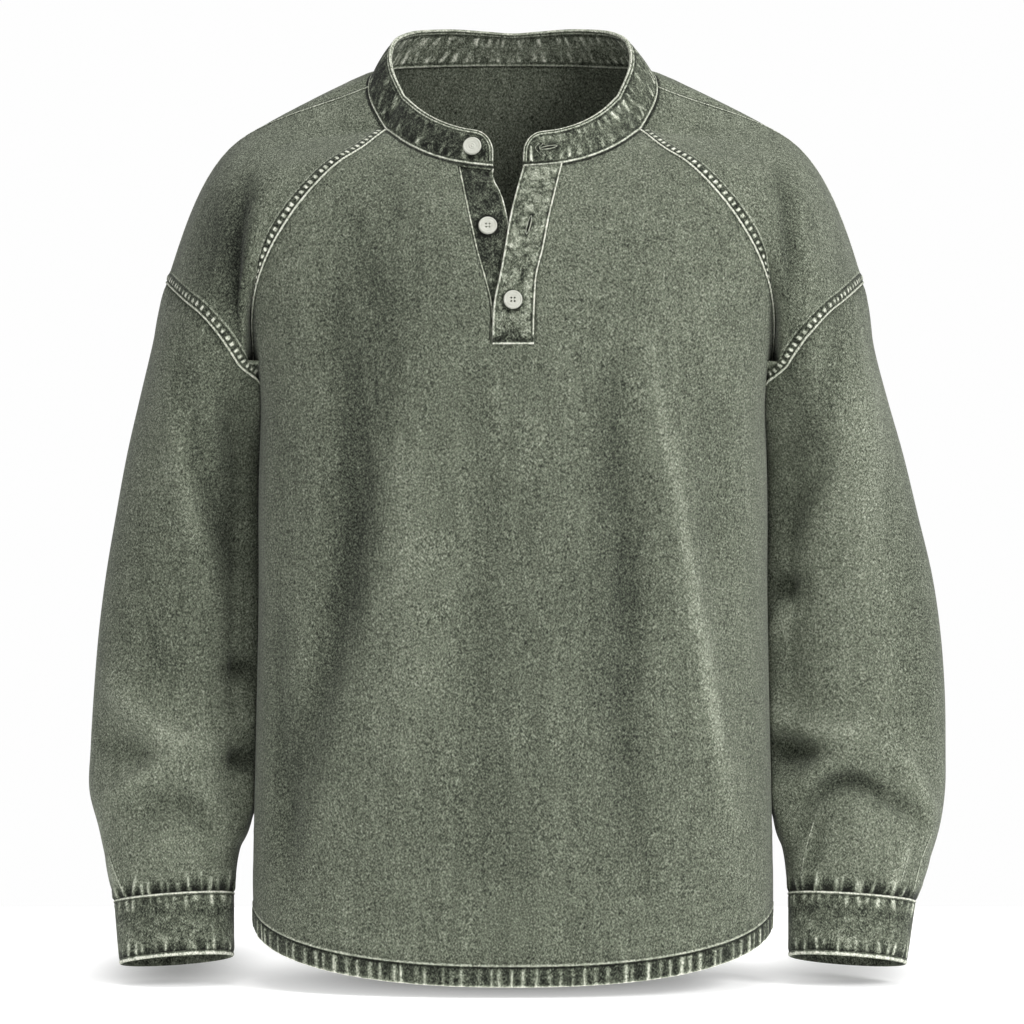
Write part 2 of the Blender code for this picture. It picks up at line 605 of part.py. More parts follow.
def wall(faces, points, normals, thick, gap=SEAM_GAP / 2):
    """A closed wall: the faces, the same faces moved in, and the rim between them."""
    used = sorted({i for face in faces for i in face})
    local = {i: k for k, i in enumerate(used)}
    outer = points[used].copy()
    tri = triangles(faces, points)
    tri = [tuple(local[i] for i in t) for t in tri]
    directed = {}
    for t in tri:
        for k in range(3):
            directed[(t[k], t[(k + 1) % 3])] = True
    rim = [edge for edge in directed if edge[::-1] not in directed]
    inward = np.zeros_like(outer)
    for a, b in rim:
        along = unit(outer[b] - outer[a])
        for k in (a, b):
            inward[k] += unit(np.cross(normals[used[k]], along))
    size = np.linalg.norm(inward, axis=1)
    for k in np.nonzero(size > 1e-9)[0]:
        outer[k] += inward[k] / size[k] * gap * min(2.0 / size[k], 1.8)
    inner = outer - normals[used] * thick
    n = len(used)
    mesh = list(tri) + [(c + n, b + n, a + n) for a, b, c in tri]
    for a, b in rim:
        # the same diagonal on both sides of a seam, so that twisted rims stay apart
        if tuple(np.round(points[used[a]], 3)) < tuple(np.round(points[used[b]], 3)):
            mesh += [(b, a, a + n), (b, a + n, b + n)]
        else:
            mesh += [(b, a, b + n), (a, a + n, b + n)]
    return np.vstack([outer, inner]), mesh


FINISH = {
    "cloth": dict(colour=(0.155, 0.172, 0.122), roughness=0.92),
    "button": dict(colour=(0.60, 0.60, 0.52), roughness=0.38),
}


def finish(name):
    """A material of the piece's own."""
    look = FINISH["button" if name.startswith("button") else "cloth"]
    made = bpy.data.materials.new(name)
    made.use_nodes = True
    shader = made.node_tree.nodes["Principled BSDF"]
    shader.inputs["Base Color"].default_value = (*look["colour"], 1.0)
    shader.inputs["Roughness"].default_value = look["roughness"]
    shader.inputs["Metallic"].default_value = 0.0
    return made


def add_object(name, points, faces):
    mesh = bpy.data.meshes.new(name)
    mesh.from_pydata([tuple(p * MM) for p in np.asarray(points, float)], [], faces)
    mesh.materials.append(finish(name))
    made = bpy.data.objects.new(name, mesh)
    bpy.context.scene.collection.objects.link(made)
    return made


# ------------------------------------------------------------------ strips of the placket

def chest_point(z, x, lift=0.0):
    """A point on the folded front at middle height z and distance x, lifted off the cloth."""
    def plain(zz, xx):
        return upper_row(share_at(zz), "front").at_x(xx)
    here = plain(z, x)
    low, high = max(z - 2, CHEST_LEVELS[0]), min(z + 2, CHEST_LEVELS[-1])
    normal = unit(np.cross(plain(z, x + 2) - plain(z, x - 2), plain(high, x) - plain(low, x)))
    fold = fold_offset(here[None], normal[None], BODY_FOLDS)[0]
    return here + normal * (fold + lift)


def strip(name, levels, across, lift):
    """A placket strip: outer and inner points over the front, joined round the rim."""
    outer = [[chest_point(z, x, lift + STRIP) for x in across(z)] for z in levels]
    inner = [[chest_point(z, x, lift) for x in across(z)] for z in levels]
    wide, tall = len(outer[0]), len(outer)
    points = [p for row in outer for p in row] + [p for row in inner for p in row]
    half = wide * tall
    quads = [(r * wide + c, r * wide + c + 1, (r + 1) * wide + c + 1, (r + 1) * wide + c)
             for r in range(tall - 1) for c in range(wide - 1)]
    faces = [t for q in quads for t in ((q[0], q[1], q[2]), (q[0], q[2], q[3]))]
    rim = ([(c, c + 1) for c in range(wide - 1)]
           + [(r * wide + wide - 1, (r + 1) * wide + wide - 1) for r in range(tall - 1)]
           + [((tall - 1) * wide + c + 1, (tall - 1) * wide + c) for c in range(wide - 1)]
           + [((r + 1) * wide, r * wide) for r in range(tall - 1)])
    mesh = faces + [(c + half, b + half, a + half) for a, b, c in faces]
    for a, b in rim:
        mesh += [(b, a, a + half), (b, a + half, b + half)]
    return add_object(name, points, mesh)


def over_across(z):
    s = slot_at(z)
    inside = s["over_seam"] - TUCK
    third = (inside - s["over_free"]) / 3
    return [s["over_free"], s["over_free"] + third, s["over_free"] + 2 * third, inside,
            s["over_seam"]]


def under_across(z):
    s = slot_at(z)
    span = s["under_free"] - s["under_seam"]
    return [s["under_seam"] - TUCK, s["under_seam"], s["under_seam"] + span / 3,
            s["under_seam"] + 2 * span / 3, s["under_free"]]


def placket():
    levels = [z for z in CHEST_LEVELS if SLOT_BOTTOM <= z < SLOT_TOP] + [SLOT_TOP - STRIP_TOP_GAP]
    strip("placket_over", [SLOT_BOTTOM - OVER_HANG] + levels, over_across, STRIP_CLEAR)
    strip("placket_under", [SLOT_BOTTOM - UNDER_HANG] + levels, under_across,
          -CLOTH - STRIP_CLEAR - STRIP)


# ------------------------------------------------------------------ buttons

BUTTON = dict(radius=7.5, edge=0.6, rim=5.6, well=5.0, thick=2.8, floor=1.9, hole=0.85,
              spread=1.55, segments=24, hole_segments=8, clear=0.3)


BUTTON_PLACES = {"top": dict(x=-34.0, z=-61.5), "middle": dict(x=-20.0, z=-126.5),
                 "bottom": dict(x=0.0, z=-187.0)}


def button(name, centre, normal):
    """A sewn four-hole button: a raised rim round a sunk middle."""
    b = BUTTON
    ring = lambda r, n, cx=0.0, cy=0.0: [(cx + r * math.cos(2 * math.pi * k / n),
                                          cy + r * math.sin(2 * math.pi * k / n)) for k in range(n)]
    n, m = b["segments"], b["hole_segments"]
    # profile rings from the underside's hole plate, out, over the rim, to the well's edge
    profile = [(b["well"], 0.0), (b["radius"] - b["edge"], 0.0), (b["radius"], b["edge"]),
               (b["radius"], b["thick"] - b["edge"]), (b["radius"] - b["edge"], b["thick"]),
               (b["rim"], b["thick"]), (b["well"], b["floor"])]
    points, faces = [], []
    for r, z in profile:
        points += [(x, y, z) for x, y in ring(r, n)]
    for k in range(len(profile) - 1):
        for c in range(n):
            d = (c + 1) % n
            faces.append((k * n + c, k * n + d, (k + 1) * n + d, (k + 1) * n + c))
    centres = [(sx * b["spread"], sy * b["spread"]) for sx in (1, -1) for sy in (1, -1)]
    flat = ring(b["well"], n)
    edges = [(k, (k + 1) % n) for k in range(n)]
    for cx, cy in centres:
        base = len(flat)
        flat += ring(b["hole"], m, cx, cy)
        edges += [(base + k, base + (k + 1) % m) for k in range(m)]
    cdt = delaunay_2d_cdt([Vector(p) for p in flat], edges, [], 0, 1e-6)
    plate = []
    for tri in cdt[2]:
        mid = sum((cdt[0][i] for i in tri), Vector((0, 0))) / len(tri)
        if all(math.dist(mid, c) > b["hole"] * 0.95 for c in centres) and mid.length < b["well"]:
            plate.append(tri)
    low = len(points)
    points += [(x, y, 0.0) for x, y in flat[n:]]
    high = len(points)
    points += [(x, y, b["floor"]) for x, y in flat[n:]]
    last = (len(profile) - 1) * n
    under = lambda i: i if i < n else low + i - n
    over = lambda i: last + i if i < n else high + i - n
    for tri in plate:
        faces.append(tuple(over(i) for i in tri))
        faces.append(tuple(under(i) for i in reversed(tri)))
    for h in range(4):
        for k in range(m):
            a, c = n + h * m + k, n + h * m + (k + 1) % m
            faces.append((under(c), under(a), over(a), over(c)))
    facing = Vector(normal).normalized()
    side_way = facing.cross(Vector((0, 0, 1))).normalized()
    up_way = facing.cross(side_way)
    start = Vector(centre) + facing * b["clear"]
    placed = [start + side_way * p[0] + up_way * p[1] + facing * p[2] for p in points]
    made = add_object(name, [np.array(p) for p in placed], faces)
    work = bmesh.new()
    work.from_mesh(made.data)
    bmesh.ops.recalc_face_normals(work, faces=work.faces)
    bmesh.ops.triangulate(work, faces=work.faces)
    work.to_mesh(made.data)
    work.free()
    return made


def tangent_plane(sample, x, z, lift):
    """Centre and normal for a disc resting on a curved place: clear of it all round."""
    centre = sample(z, x, lift)
    reach = BUTTON["radius"]
    right, left = sample(z, x + reach, lift), sample(z, x - reach, lift)
    up, down = sample(z + reach, x, lift), sample(z - reach, x, lift)
    normal = unit(np.cross(right - left, up - down))
    ring = [sample(z + reach * math.sin(a), x + reach * math.cos(a), lift)
            for a in np.linspace(0, 2 * math.pi, BUTTON["segments"])]
    stand = max([0.0] + [float((p - centre) @ normal) for p in ring])
    return centre + normal * stand, normal


def buttons():
    over = STRIP_CLEAR + STRIP
    under = -CLOTH - STRIP_CLEAR
    row = upper_row(1.0, "front")

    def on_collar(z, x, lift):
        base = row.at_x(x)
        return collar_point(base, (z - base[2]) / COLLAR["rise"][1])

    place = BUTTON_PLACES["bottom"]
    button("button_bottom", *tangent_plane(chest_point, place["x"], place["z"], over))
    place = BUTTON_PLACES["middle"]
    button("button_middle", *tangent_plane(chest_point, place["x"], place["z"], under))
    place = BUTTON_PLACES["top"]
    button("button_top", *tangent_plane(on_collar, place["x"], place["z"], 0.0))


# ------------------------------------------------------------------ make everything

def main():
    for old in list(bpy.data.objects):
        bpy.data.objects.remove(old)
    skin = build_surface()
    normals = skin.normals()
    points = np.array(skin.points)
    on_body = np.zeros(len(points), bool)
    on_body[list(skin.body)] = True
    moved = np.where(on_body, fold_offset(points, normals, BODY_FOLDS),
                     fold_offset(points, normals, ARM_FOLDS))
    skin.points = list(points + normals * moved[:, None])
    normals = skin.normals()
    points = np.array(skin.points)
    for node, faces in skin.faces.items():
        double = node.startswith(("collar", "cuff", "hem"))
        solid, mesh = wall(faces, points, normals, DOUBLE if double else CLOTH)
        add_object(node, solid, mesh)
    placket()
    buttons()


main()
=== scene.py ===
# %% [markdown]
# # A washed olive henley in the form it has when worn
#
# The garment stands filled out and hollow, open at the neck, the hem and the cuffs. It has a stand
# collar, a short buttoned opening, raglan shoulders with a second seam dropped down the arm, full
# sleeves gathered into cuffs and a hem that curves up at the sides. It is heavy olive cloth, sewn
# first and washed hard afterwards, so the dye has gone from every edge and pucker that stands up.
#
# The imported model holds each piece as a plain wall of cloth. The steps below make the finished
# cloth on the same form, hang every new piece on the frame's root and hide the plain walls that
# they replace. Sizes are in millimetres, as a pattern cutter writes them, and become metres when a
# mesh is made. X runs to the viewer's right, Y away from the viewer, Z up, and the origin is in the
# neck opening.

# %% Load the imported frame
import math

import bmesh
import bpy
import numpy as np
from mathutils import Matrix, Vector
from mathutils.bvhtree import BVHTree


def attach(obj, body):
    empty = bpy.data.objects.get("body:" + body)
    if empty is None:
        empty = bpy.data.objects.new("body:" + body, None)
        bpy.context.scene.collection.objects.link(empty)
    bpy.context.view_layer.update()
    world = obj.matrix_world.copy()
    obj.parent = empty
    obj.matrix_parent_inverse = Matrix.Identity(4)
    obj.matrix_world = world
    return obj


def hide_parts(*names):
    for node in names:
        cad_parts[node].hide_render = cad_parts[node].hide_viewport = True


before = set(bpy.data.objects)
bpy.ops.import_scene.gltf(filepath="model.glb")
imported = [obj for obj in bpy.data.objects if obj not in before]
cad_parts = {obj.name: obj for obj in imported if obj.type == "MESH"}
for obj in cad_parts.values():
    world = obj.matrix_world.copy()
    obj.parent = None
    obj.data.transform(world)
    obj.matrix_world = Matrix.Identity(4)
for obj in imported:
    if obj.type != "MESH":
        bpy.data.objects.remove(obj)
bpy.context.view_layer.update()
MM = 0.001
print("packed nodes:", len(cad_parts))

# %% [markdown]
# ## The view
#
# The picture is taken from straight in front, level with the middle of the body, through a long
# lens. A long lens far away keeps the two sleeves the same size and the hem nearly flat. The
# lens follows from one measured number: how many millimetres of the garment one pixel covers.

# %% Camera
PIXELS = 1024
MM_PER_PIXEL = 0.82
CAMERA_AWAY = 3500.0
CAMERA_HEIGHT = -354.0
CAMERA_SIDE = -0.8
SENSOR = 36.0

lens_data = bpy.data.cameras.new("camera")
lens_data.sensor_width = SENSOR
lens_data.lens = SENSOR * CAMERA_AWAY / (MM_PER_PIXEL * PIXELS)
camera = bpy.data.objects.new("camera", lens_data)
camera.location = (CAMERA_SIDE * MM, -CAMERA_AWAY * MM, CAMERA_HEIGHT * MM)
camera.rotation_euler = (math.radians(90), 0, 0)
bpy.context.scene.collection.objects.link(camera)
bpy.context.scene.camera = camera
print("lens", round(lens_data.lens, 1), "mm")

# %% [markdown]
# ## Curves through measured points
#
# A pattern is drawn with curved rulers through a few marked points. `smooth` does the same in
# numbers: it passes a cubic curve through values at uneven places. `evenly` walks along such a
# curve and marks it off in equal lengths, which keeps the cells of the cloth alike.

# %% Curve helpers
def unit(vectors):
    return vectors / np.maximum(np.linalg.norm(vectors, axis=-1, keepdims=True), 1e-9)


def smooth(knots, values, at, first=None):
    """Values at `at` on a smooth curve; `first` sets the tangent it starts with."""
    knots = np.asarray(knots, float)
    values = np.asarray(values, float).reshape(len(knots), -1)
    at = np.atleast_1d(np.asarray(at, float))
    step = np.diff(knots)[:, None]
    rate = np.diff(values, axis=0) / step
    inner = (rate[:-1] * step[1:] + rate[1:] * step[:-1]) / (step[:-1] + step[1:])
    tangent = np.vstack([rate[:1], inner, rate[-1:]])
    if first is not None:
        tangent[0] = first
    cell = np.clip(np.searchsorted(knots, at, side="right") - 1, 0, len(knots) - 2)
    span = (knots[cell + 1] - knots[cell])[:, None]
    s = np.clip((at - knots[cell]) / span[:, 0], 0, 1)[:, None]
    return (values[cell] * (2 * s**3 - 3 * s**2 + 1) + values[cell + 1] * (3 * s**2 - 2 * s**3)
            + span * (tangent[cell] * (s**3 - 2 * s**2 + s) + tangent[cell + 1] * (s**3 - s**2)))


def read(table, key, name, at):
    """One named column of a table, read at values of its key column."""
    return smooth(table[key], table[name], at)[:, 0]


def lengths(points):
    """How far along a line each of its points is."""
    return np.concatenate([[0], np.cumsum(np.linalg.norm(np.diff(points, axis=0), axis=1))])


def between(want, have, rows):
    """Rows of numbers that are known at `have`, read at `want` in straight steps."""
    return np.stack([np.interp(want, have, column) for column in rows.T], axis=1)


def cut_at(points, want):
    """Points of a line at given lengths along it."""
    return between(want, lengths(points), points)


def evenly(points, count):
    """`count` + 1 points, equally far apart, on the smooth line through points."""
    points = np.asarray(points, float)
    knots = lengths(points)
    fine = smooth(knots, points, np.linspace(0, knots[-1], 400))
    return cut_at(fine, np.linspace(0, lengths(fine)[-1], count + 1))


def soften(lines, passes):
    """A line, or rows of lines, with its small steps smoothed out along it."""
    for _ in range(passes):
        inner = lines[1:-1] / 2 + (lines[:-2] + lines[2:]) / 4
        lines = np.concatenate([lines[:1], inner, lines[-1:]])
    return lines


# %% [markdown]
# ## The form of the torso
#
# Front and back are rounded sections stacked from the hem to the neck. Each section runs from the
# side seam, or from the raglan seam higher up, round the middle and back, and its shape lies
# between an ellipse and a rectangle, as cloth over a chest does. The tables are the same that the
# packed walls were built from, so the finished cloth lies where they are.

# %% Measured levels of the torso
TORSO = {
    "side_z":  [-688, -672, -640, -590, -500, -420, -340, -262],
    "side_x":  [212, 212, 212, 211, 209, 207.5, 207.5, 206],
    "side_y":  [-6, -6, -6, -6, -5, -5, -4, -2],
    "front_y": [-130, -130.5, -131, -131, -131.5, -133, -135, -136],
    "front_z": [-729, -713, -680, -627, -533, -450, -366, -285],
    "back_y":  [112, 112.5, 113, 113, 113, 114, 118, 121],
    "back_z":  [-721, -705, -672, -621, -528, -444, -355, -262],
    "square":  [2.35, 2.35, 2.37, 2.4, 2.45, 2.55, 2.68, 2.8],
}
UPPER_SQUARE = {"share": [0, 0.3, 0.6, 1], "square": [2.8, 2.8, 2.65, 2.35]}
CHEST = {"z": [-285, -250, -215, -180, -150, -120, -100, -78],
         "y": [-136, -135.5, -132.5, -127, -119.5, -108.5, -99, -88]}
NAPE = {"z": [-262, -210, -160, -110, -60, -20, 19],
        "y": [121, 119, 114, 105, 92, 78, 62]}
CHEST_LEVELS = [-285, -263, -240, -218, -197, -177, -157, -137, -117, -97, -78]
NAPE_LEVELS = [-262, -236, -209, -181, -153, -125, -97, -68, -39, -10, 19]
HEM_TOP = -672.0
UNDERARM = (206, -2, -262)

# the seams that the shoulders start from: outward, Y, Z
FRONT_RAGLAN = [UNDERARM, (207.5, -14, -258), (209, -28, -244), (210, -45, -221),
                (209, -65, -192), (201, -85, -160), (184, -92, -127), (163, -88, -98),
                (135, -75, -70), (120, -62, -60), (103, -43, -45)]
BACK_RAGLAN = [UNDERARM, (207, 11, -259), (208, 28, -247), (208, 46, -229), (206, 66, -203),
               (200, 81, -172), (190, 85, -136), (175, 80, -95), (155, 70, -50),
               (130, 56, -14), (100, 36, 14)]
NECK_SIDE = [(103, -43, -45), (114, -27, -25), (118.5, -12, -10), (117, 0, 2), (112, 17, 9),
             (100, 36, 14)]

# the slot for the buttoned opening, and where its two strips begin and end, by height
SLOT = {"z":          [-222, -187, -167, -147, -118, -95, -78],
        "under_seam": [-18.2, -19.1, -24.1, -29.7, -36.3, -41.4, -45.1],
        "under_free": [13.5, 10, 6, 1, -4.4, -11.5, -15.8],
        "over_free":  [-16.3, -14.9, -10.7, -7, -2.2, 3.4, 8.1],
        "over_seam":  [16.5, 17.5, 19, 23.9, 29.7, 35.5, 39.9]}
SLOT_BOTTOM = -218.0
SLOT_TOP = -78.0
TUCK = 2.2
FALL_POWER = 1.2       # how a section's height falls from its side to its middle

SEAM_STEPS = 60        # cells of cloth along a raglan seam
BODY_STEPS = 104       # rows of cells from the hem band up to the underarm
SIDE_CELLS = 62        # from the slot round to the side seam
SLOT_CELLS = 8
BACK_CELLS = 124


# %% Sections of the torso, all rows at once
def seam_points(marks, count, at):
    """A seam marked off in `count` equal lengths, then read at shares of its length."""
    return smooth(np.linspace(0, 1, count + 1), evenly(marks, count), at)


class Sections:
    """Rounded sections from an edge round the middle to the other edge, one for each row."""

    def __init__(self, edge, depth, height, root, power, square):
        self.edge, self.height, self.root, self.power = edge, height, root, power
        self.square = square
        self.sign = np.where(depth > root, 1.0, -1.0)
        self.deep = np.abs(depth - root)
        inset = np.maximum(self.sign * (edge[:, 1] - root), 0) / self.deep
        self.start = np.minimum(inset, 0.97)
        self.wide = edge[:, 0] / (1 - self.start**square) ** (1 / square)

    def at(self, x):
        """Points at the distances x (rows, columns) from the middle plane."""
        column = lambda values: np.asarray(values)[:, None]
        square = column(self.square)
        ratio = np.minimum(np.abs(x) / column(self.wide), 1)
        depth = (1 - ratio**square) ** (1 / square)
        start = column(self.start)
        share = np.maximum((depth - start) / (1 - start), 0)
        side, middle = column(self.edge[:, 2]), column(self.height)
        z = side + (middle - side) * share ** column(self.power)
        y = column(self.root) + column(self.sign * self.deep) * depth
        return np.stack([x, y, z], axis=2)

    def spread(self, x_from, x_to, count):
        """count + 1 distances from one to the other in every row, evenly round the section."""
        bend = self.square / 2
        angle = [np.arccos(np.sign(x) * np.minimum(np.abs(x) / self.wide, 1) ** bend)
                 for x in (x_from, x_to)]
        steps = np.linspace(0, 1, count + 1)[None]
        cosine = np.cos(angle[0][:, None] + (angle[1] - angle[0])[:, None] * steps)
        return np.sign(cosine) * self.wide[:, None] * np.abs(cosine) ** (1 / bend[:, None])


def torso_rows(side_z, face):
    get = lambda name: read(TORSO, "side_z", name, side_z)
    edge = np.stack([get("side_x"), get("side_y"), side_z], axis=1)
    power = np.full(len(side_z), FALL_POWER)
    return edge, get(face + "_y"), get(face + "_z"), edge[:, 1], power, get("square")


def upper_rows(share, face):
    """Rows above the underarm; share is 0 there and 1 at the neck seam."""
    front = face == "front"
    steps = np.linspace(0, 1, len(CHEST_LEVELS))
    edge = seam_points(FRONT_RAGLAN if front else BACK_RAGLAN, 10, share)
    z = smooth(steps, CHEST_LEVELS if front else NAPE_LEVELS, share)[:, 0]
    y = read(CHEST if front else NAPE, "z", "y", z)
    square = read(UPPER_SQUARE, "share", "square", share)
    return edge, y, z, -2.0 + 2.0 * share, FALL_POWER + 0.05 * share, square


def whole_panel(face):
    low = torso_rows(np.linspace(HEM_TOP, UNDERARM[2], BODY_STEPS + 1), face)
    high = upper_rows(np.linspace(0, 1, SEAM_STEPS + 1)[1:], face)
    return Sections(*[np.concatenate(pair) for pair in zip(low, high)])


def slot_at(z):
    z = np.clip(z, SLOT["z"][0], SLOT["z"][-1])
    return {name: read(SLOT, "z", name, z) for name in SLOT if name != "z"}


def front_points():
    rows = whole_panel("front")
    slot = slot_at(rows.height)
    left, right = slot["under_seam"], slot["over_seam"] - TUCK
    middle = left[:, None] + (right - left)[:, None] * np.linspace(0, 1, SLOT_CELLS + 1)
    x = np.hstack([rows.spread(-rows.edge[:, 0], left, SIDE_CELLS), middle[:, 1:],
                   rows.spread(right, rows.edge[:, 0], SIDE_CELLS)[:, 1:]])
    return rows.at(x)


def back_points():
    rows = whole_panel("back")
    return rows.at(rows.spread(rows.edge[:, 0], -rows.edge[:, 0], BACK_CELLS))


print("front", front_points().shape, "back", back_points().shape)

# %% [markdown]
# ## The form of the arms
#
# Each arm is one tube. It starts on the ring of raglan and neck seams, passes through a ring on
# the shoulder and the dropped seam, and goes on through a ring for every few centimetres of
# sleeve. Curves run lengthwise through the rings, so the tube leaves the body at the angle that
# the chest and the back have there.

# %% Measured rings of the arm
SHOULDER_RING = {
    "out": [212, 214, 217, 221, 225, 228.5, 230, 231, 230.5, 229, 226, 222, 218, 214],
    "y":   [-1, -54, -86, -88, -68, -36, -11, 4, 22, 46, 70, 87, 88, 60],
    "z":   [-271, -235, -184, -140, -100, -72, -59, -55, -58, -71, -98, -138, -182, -233],
}
DROP_RING = {
    "out": [218.5, 214, 230, 249, 264, 275, 281.5, 284, 281, 274, 261, 245, 229, 218],
    "y":   [0, -54, -75, -74, -57, -34, -12, 8, 29, 52, 73, 84, 79, 50],
    "z":   [-280, -251, -221, -197, -184, -174, -168, -166, -169, -178, -194, -215, -239, -264],
}
RIGHT_TOP = 3.0        # the viewer's right shoulder reaches a little farther out
SLEEVE = {
    "in_x":   [217, 216, 215.5, 215, 215, 215, 215, 215, 216, 219, 226, 228.5],
    "in_z":   [-300, -336, -375, -415, -455, -495, -530, -563, -590, -615, -637, -665],
    "out_x":  [297, 307, 317.5, 327, 335.5, 341.5, 345, 347, 347.5, 339.5, 333.5, 325],
    "out_z":  [-222, -262, -306, -356, -406, -455, -503, -547, -583, -612, -637, -672],
    "mid_y":  [8, 12, 16, 19, 20, 19, 15, 9, 4, -2, -7, -14],
    "deep":   [76, 70, 65, 60, 57, 55, 53, 52, 50, 47, 41, 32],
    "rise":   [0, 0, 0, 0, 0, 1, 2, 3, 4, 5, 6, 6],
    "crowd":  [22, 18, 13, 8, 3, 0, 0, 0, 0, 0, 0, 0],
    "right_in":  [0, 0, 0, 0, 0, 0, 0, 0, 0, -2, -3, -3],
    "right_out": [0, 1, 3.5, 6.5, 10, 11, 10.5, 8.5, 7, 10, 8, 3],
}
CUFF = {"in_x": [228.0], "in_z": [-716.0], "out_x": [320.0], "out_z": [-723.0],
        "mid_y": [-22.0], "deep": [33.0], "rise": [7.0], "crowd": [0.0], "right_in": [-3.0],
        "right_out": [0.0]}
SHOULDER_SLOPE = np.array([0.9, 0.0, -0.5])
COARSE = 28            # columns in which the rings were measured
RAGLAN = 10            # of these, along each raglan seam
FINE = 6               # cells of cloth for each measured column
AROUND = COARSE * FINE
SHOULDER_ROWS = 24
SLEEVE_ROWS = 104      # down to where the gathers begin
GATHER_ROWS = 26


# %% Rings and how the tube leaves the body
def first_ring(columns):
    """Raglan and neck seams as one closed ring, from the underarm by the front."""
    share = np.arange(0, RAGLAN, RAGLAN / (RAGLAN * columns // COARSE)) / RAGLAN
    neck_columns = (COARSE - 2 * RAGLAN) * columns // COARSE
    neck = seam_points(NECK_SIDE, COARSE - 2 * RAGLAN, np.arange(neck_columns) / neck_columns)
    return np.vstack([seam_points(FRONT_RAGLAN, RAGLAN, share), neck,
                      seam_points(BACK_RAGLAN, RAGLAN, 1 - share)])


def measured_ring(table, right, columns):
    data = np.array([table["out"], table["y"], table["z"]], float).T
    if right:
        data[:, 0] += RIGHT_TOP * (data[:, 0] - data[:, 0].min()) / np.ptp(data[:, 0])
    wrapped = np.vstack([data[-2:], data, data[:3]])
    return smooth(np.arange(-4, 2 * len(data) + 5, 2), wrapped,
                  np.arange(columns) * COARSE / columns)


def sleeve_ring(table, k, right, columns):
    get = lambda name: table[name][k]
    inner = np.array([get("in_x") + (get("right_in") if right else 0), 0, get("in_z")])
    outer = np.array([get("out_x") + (get("right_out") if right else 0), 0, get("out_z")])
    angle = np.arange(columns) * 2 * math.pi / columns
    angle = angle + math.radians(get("crowd")) * np.sin(angle)
    ring = (inner + outer) / 2 - np.cos(angle)[:, None] * (outer - inner) / 2
    ring[:, 1] += get("mid_y") - get("deep") * np.sin(angle)
    ring[:, 2] += get("rise") * np.sin(angle)
    return ring


def panel_normals(shares, face):
    """Which way the front or the back faces at places of its raglan edge."""
    rows = Sections(*upper_rows(shares, face))
    lower = Sections(*upper_rows(np.maximum(shares - 0.03, 0), face))
    below_arm = Sections(*torso_rows(np.full(len(shares), UNDERARM[2] - 6.0), face))
    x = rows.edge[:, 0]
    inside = rows.at(rows.spread(x, 0 * x, 40)[:, 1:2])[:, 0]
    here = rows.at(x[:, None])[:, 0]
    ratio = np.minimum(x / rows.wide, 1)
    below = np.where((shares > 0.03)[:, None], lower.at((ratio * lower.wide)[:, None])[:, 0],
                     below_arm.at((ratio * below_arm.wide)[:, None])[:, 0])
    return unit(np.cross(here - inside, here - below))


def leaving(following):
    """How the shoulder leaves each measured column of its first ring."""
    ring = first_ring(COARSE)
    last = COARSE - RAGLAN
    slope = unit(SHOULDER_SLOPE)
    out = np.tile(slope, (COARSE, 1))
    shares = np.arange(RAGLAN + 1) / RAGLAN
    along = np.roll(ring, -1, axis=0) - np.roll(ring, 1, axis=0)
    front, back = panel_normals(shares, "front"), panel_normals(shares, "back")
    for k in range(COARSE):
        if RAGLAN < k < last:
            continue
        is_front = k <= RAGLAN
        normal = front[k] if is_front else back[COARSE - k]
        across = unit(np.cross(along[k], normal))
        outward = across @ np.array([1, 1 if is_front else -1, 1])
        out[k] = across if outward > 0 else -across
    for k in range(RAGLAN + 1, last):
        share = 1 - abs(2 * k - RAGLAN - last) / (last - RAGLAN)
        near = out[RAGLAN] if 2 * k <= RAGLAN + last else out[last]
        out[k] = unit(near * (1 - share) + slope * share)
    for _ in range(2):
        out = out / 2 + (np.roll(out, 1, axis=0) + np.roll(out, -1, axis=0)) / 4
    reach = np.linalg.norm(following - ring, axis=1, keepdims=True)
    return out * reach * 0.8


def arm_points(right):
    """Rows from the raglan seam to the cuff seam, closed round the arm."""
    make = lambda columns: np.array(
        [first_ring(columns), measured_ring(SHOULDER_RING, right, columns),
         measured_ring(DROP_RING, right, columns)]
        + [sleeve_ring(SLEEVE, k, right, columns) for k in range(len(SLEEVE["in_x"]))])
    coarse, rings = make(COARSE), make(AROUND)
    gaps = np.linalg.norm(np.diff(coarse, axis=0), axis=2).mean(axis=1)
    knots = np.concatenate([[0], np.cumsum(gaps)])
    start = leaving(coarse[1]) / gaps[0]
    wrapped = np.vstack([start[-3:], start, start[:4]])
    start = smooth(np.arange(-3, COARSE + 4), wrapped, np.arange(AROUND) / FINE)
    at = np.concatenate([np.linspace(0, knots[2], SHOULDER_ROWS + 1)[:-1],
                         np.linspace(knots[2], knots[-2], SLEEVE_ROWS + 1)[:-1],
                         np.linspace(knots[-2], knots[-1], GATHER_ROWS + 1)])
    rows = smooth(knots, rings.reshape(len(rings), -1), at, start.ravel())
    rows = rows.reshape(len(at), AROUND, 3)
    return np.concatenate([rows, rows[:, :1]], axis=1)


print("arm", arm_points(False).shape)

# %% [markdown]
# ## One skin, sewn at the seams
#
# The panels meet edge to edge, so they are first held together as one skin. Points that two
# panels share are one point there. A fold that crosses a seam then crosses it without a step, and
# both sides of a seam lean the same way. The skin is also what seams, bands and threads lie on.

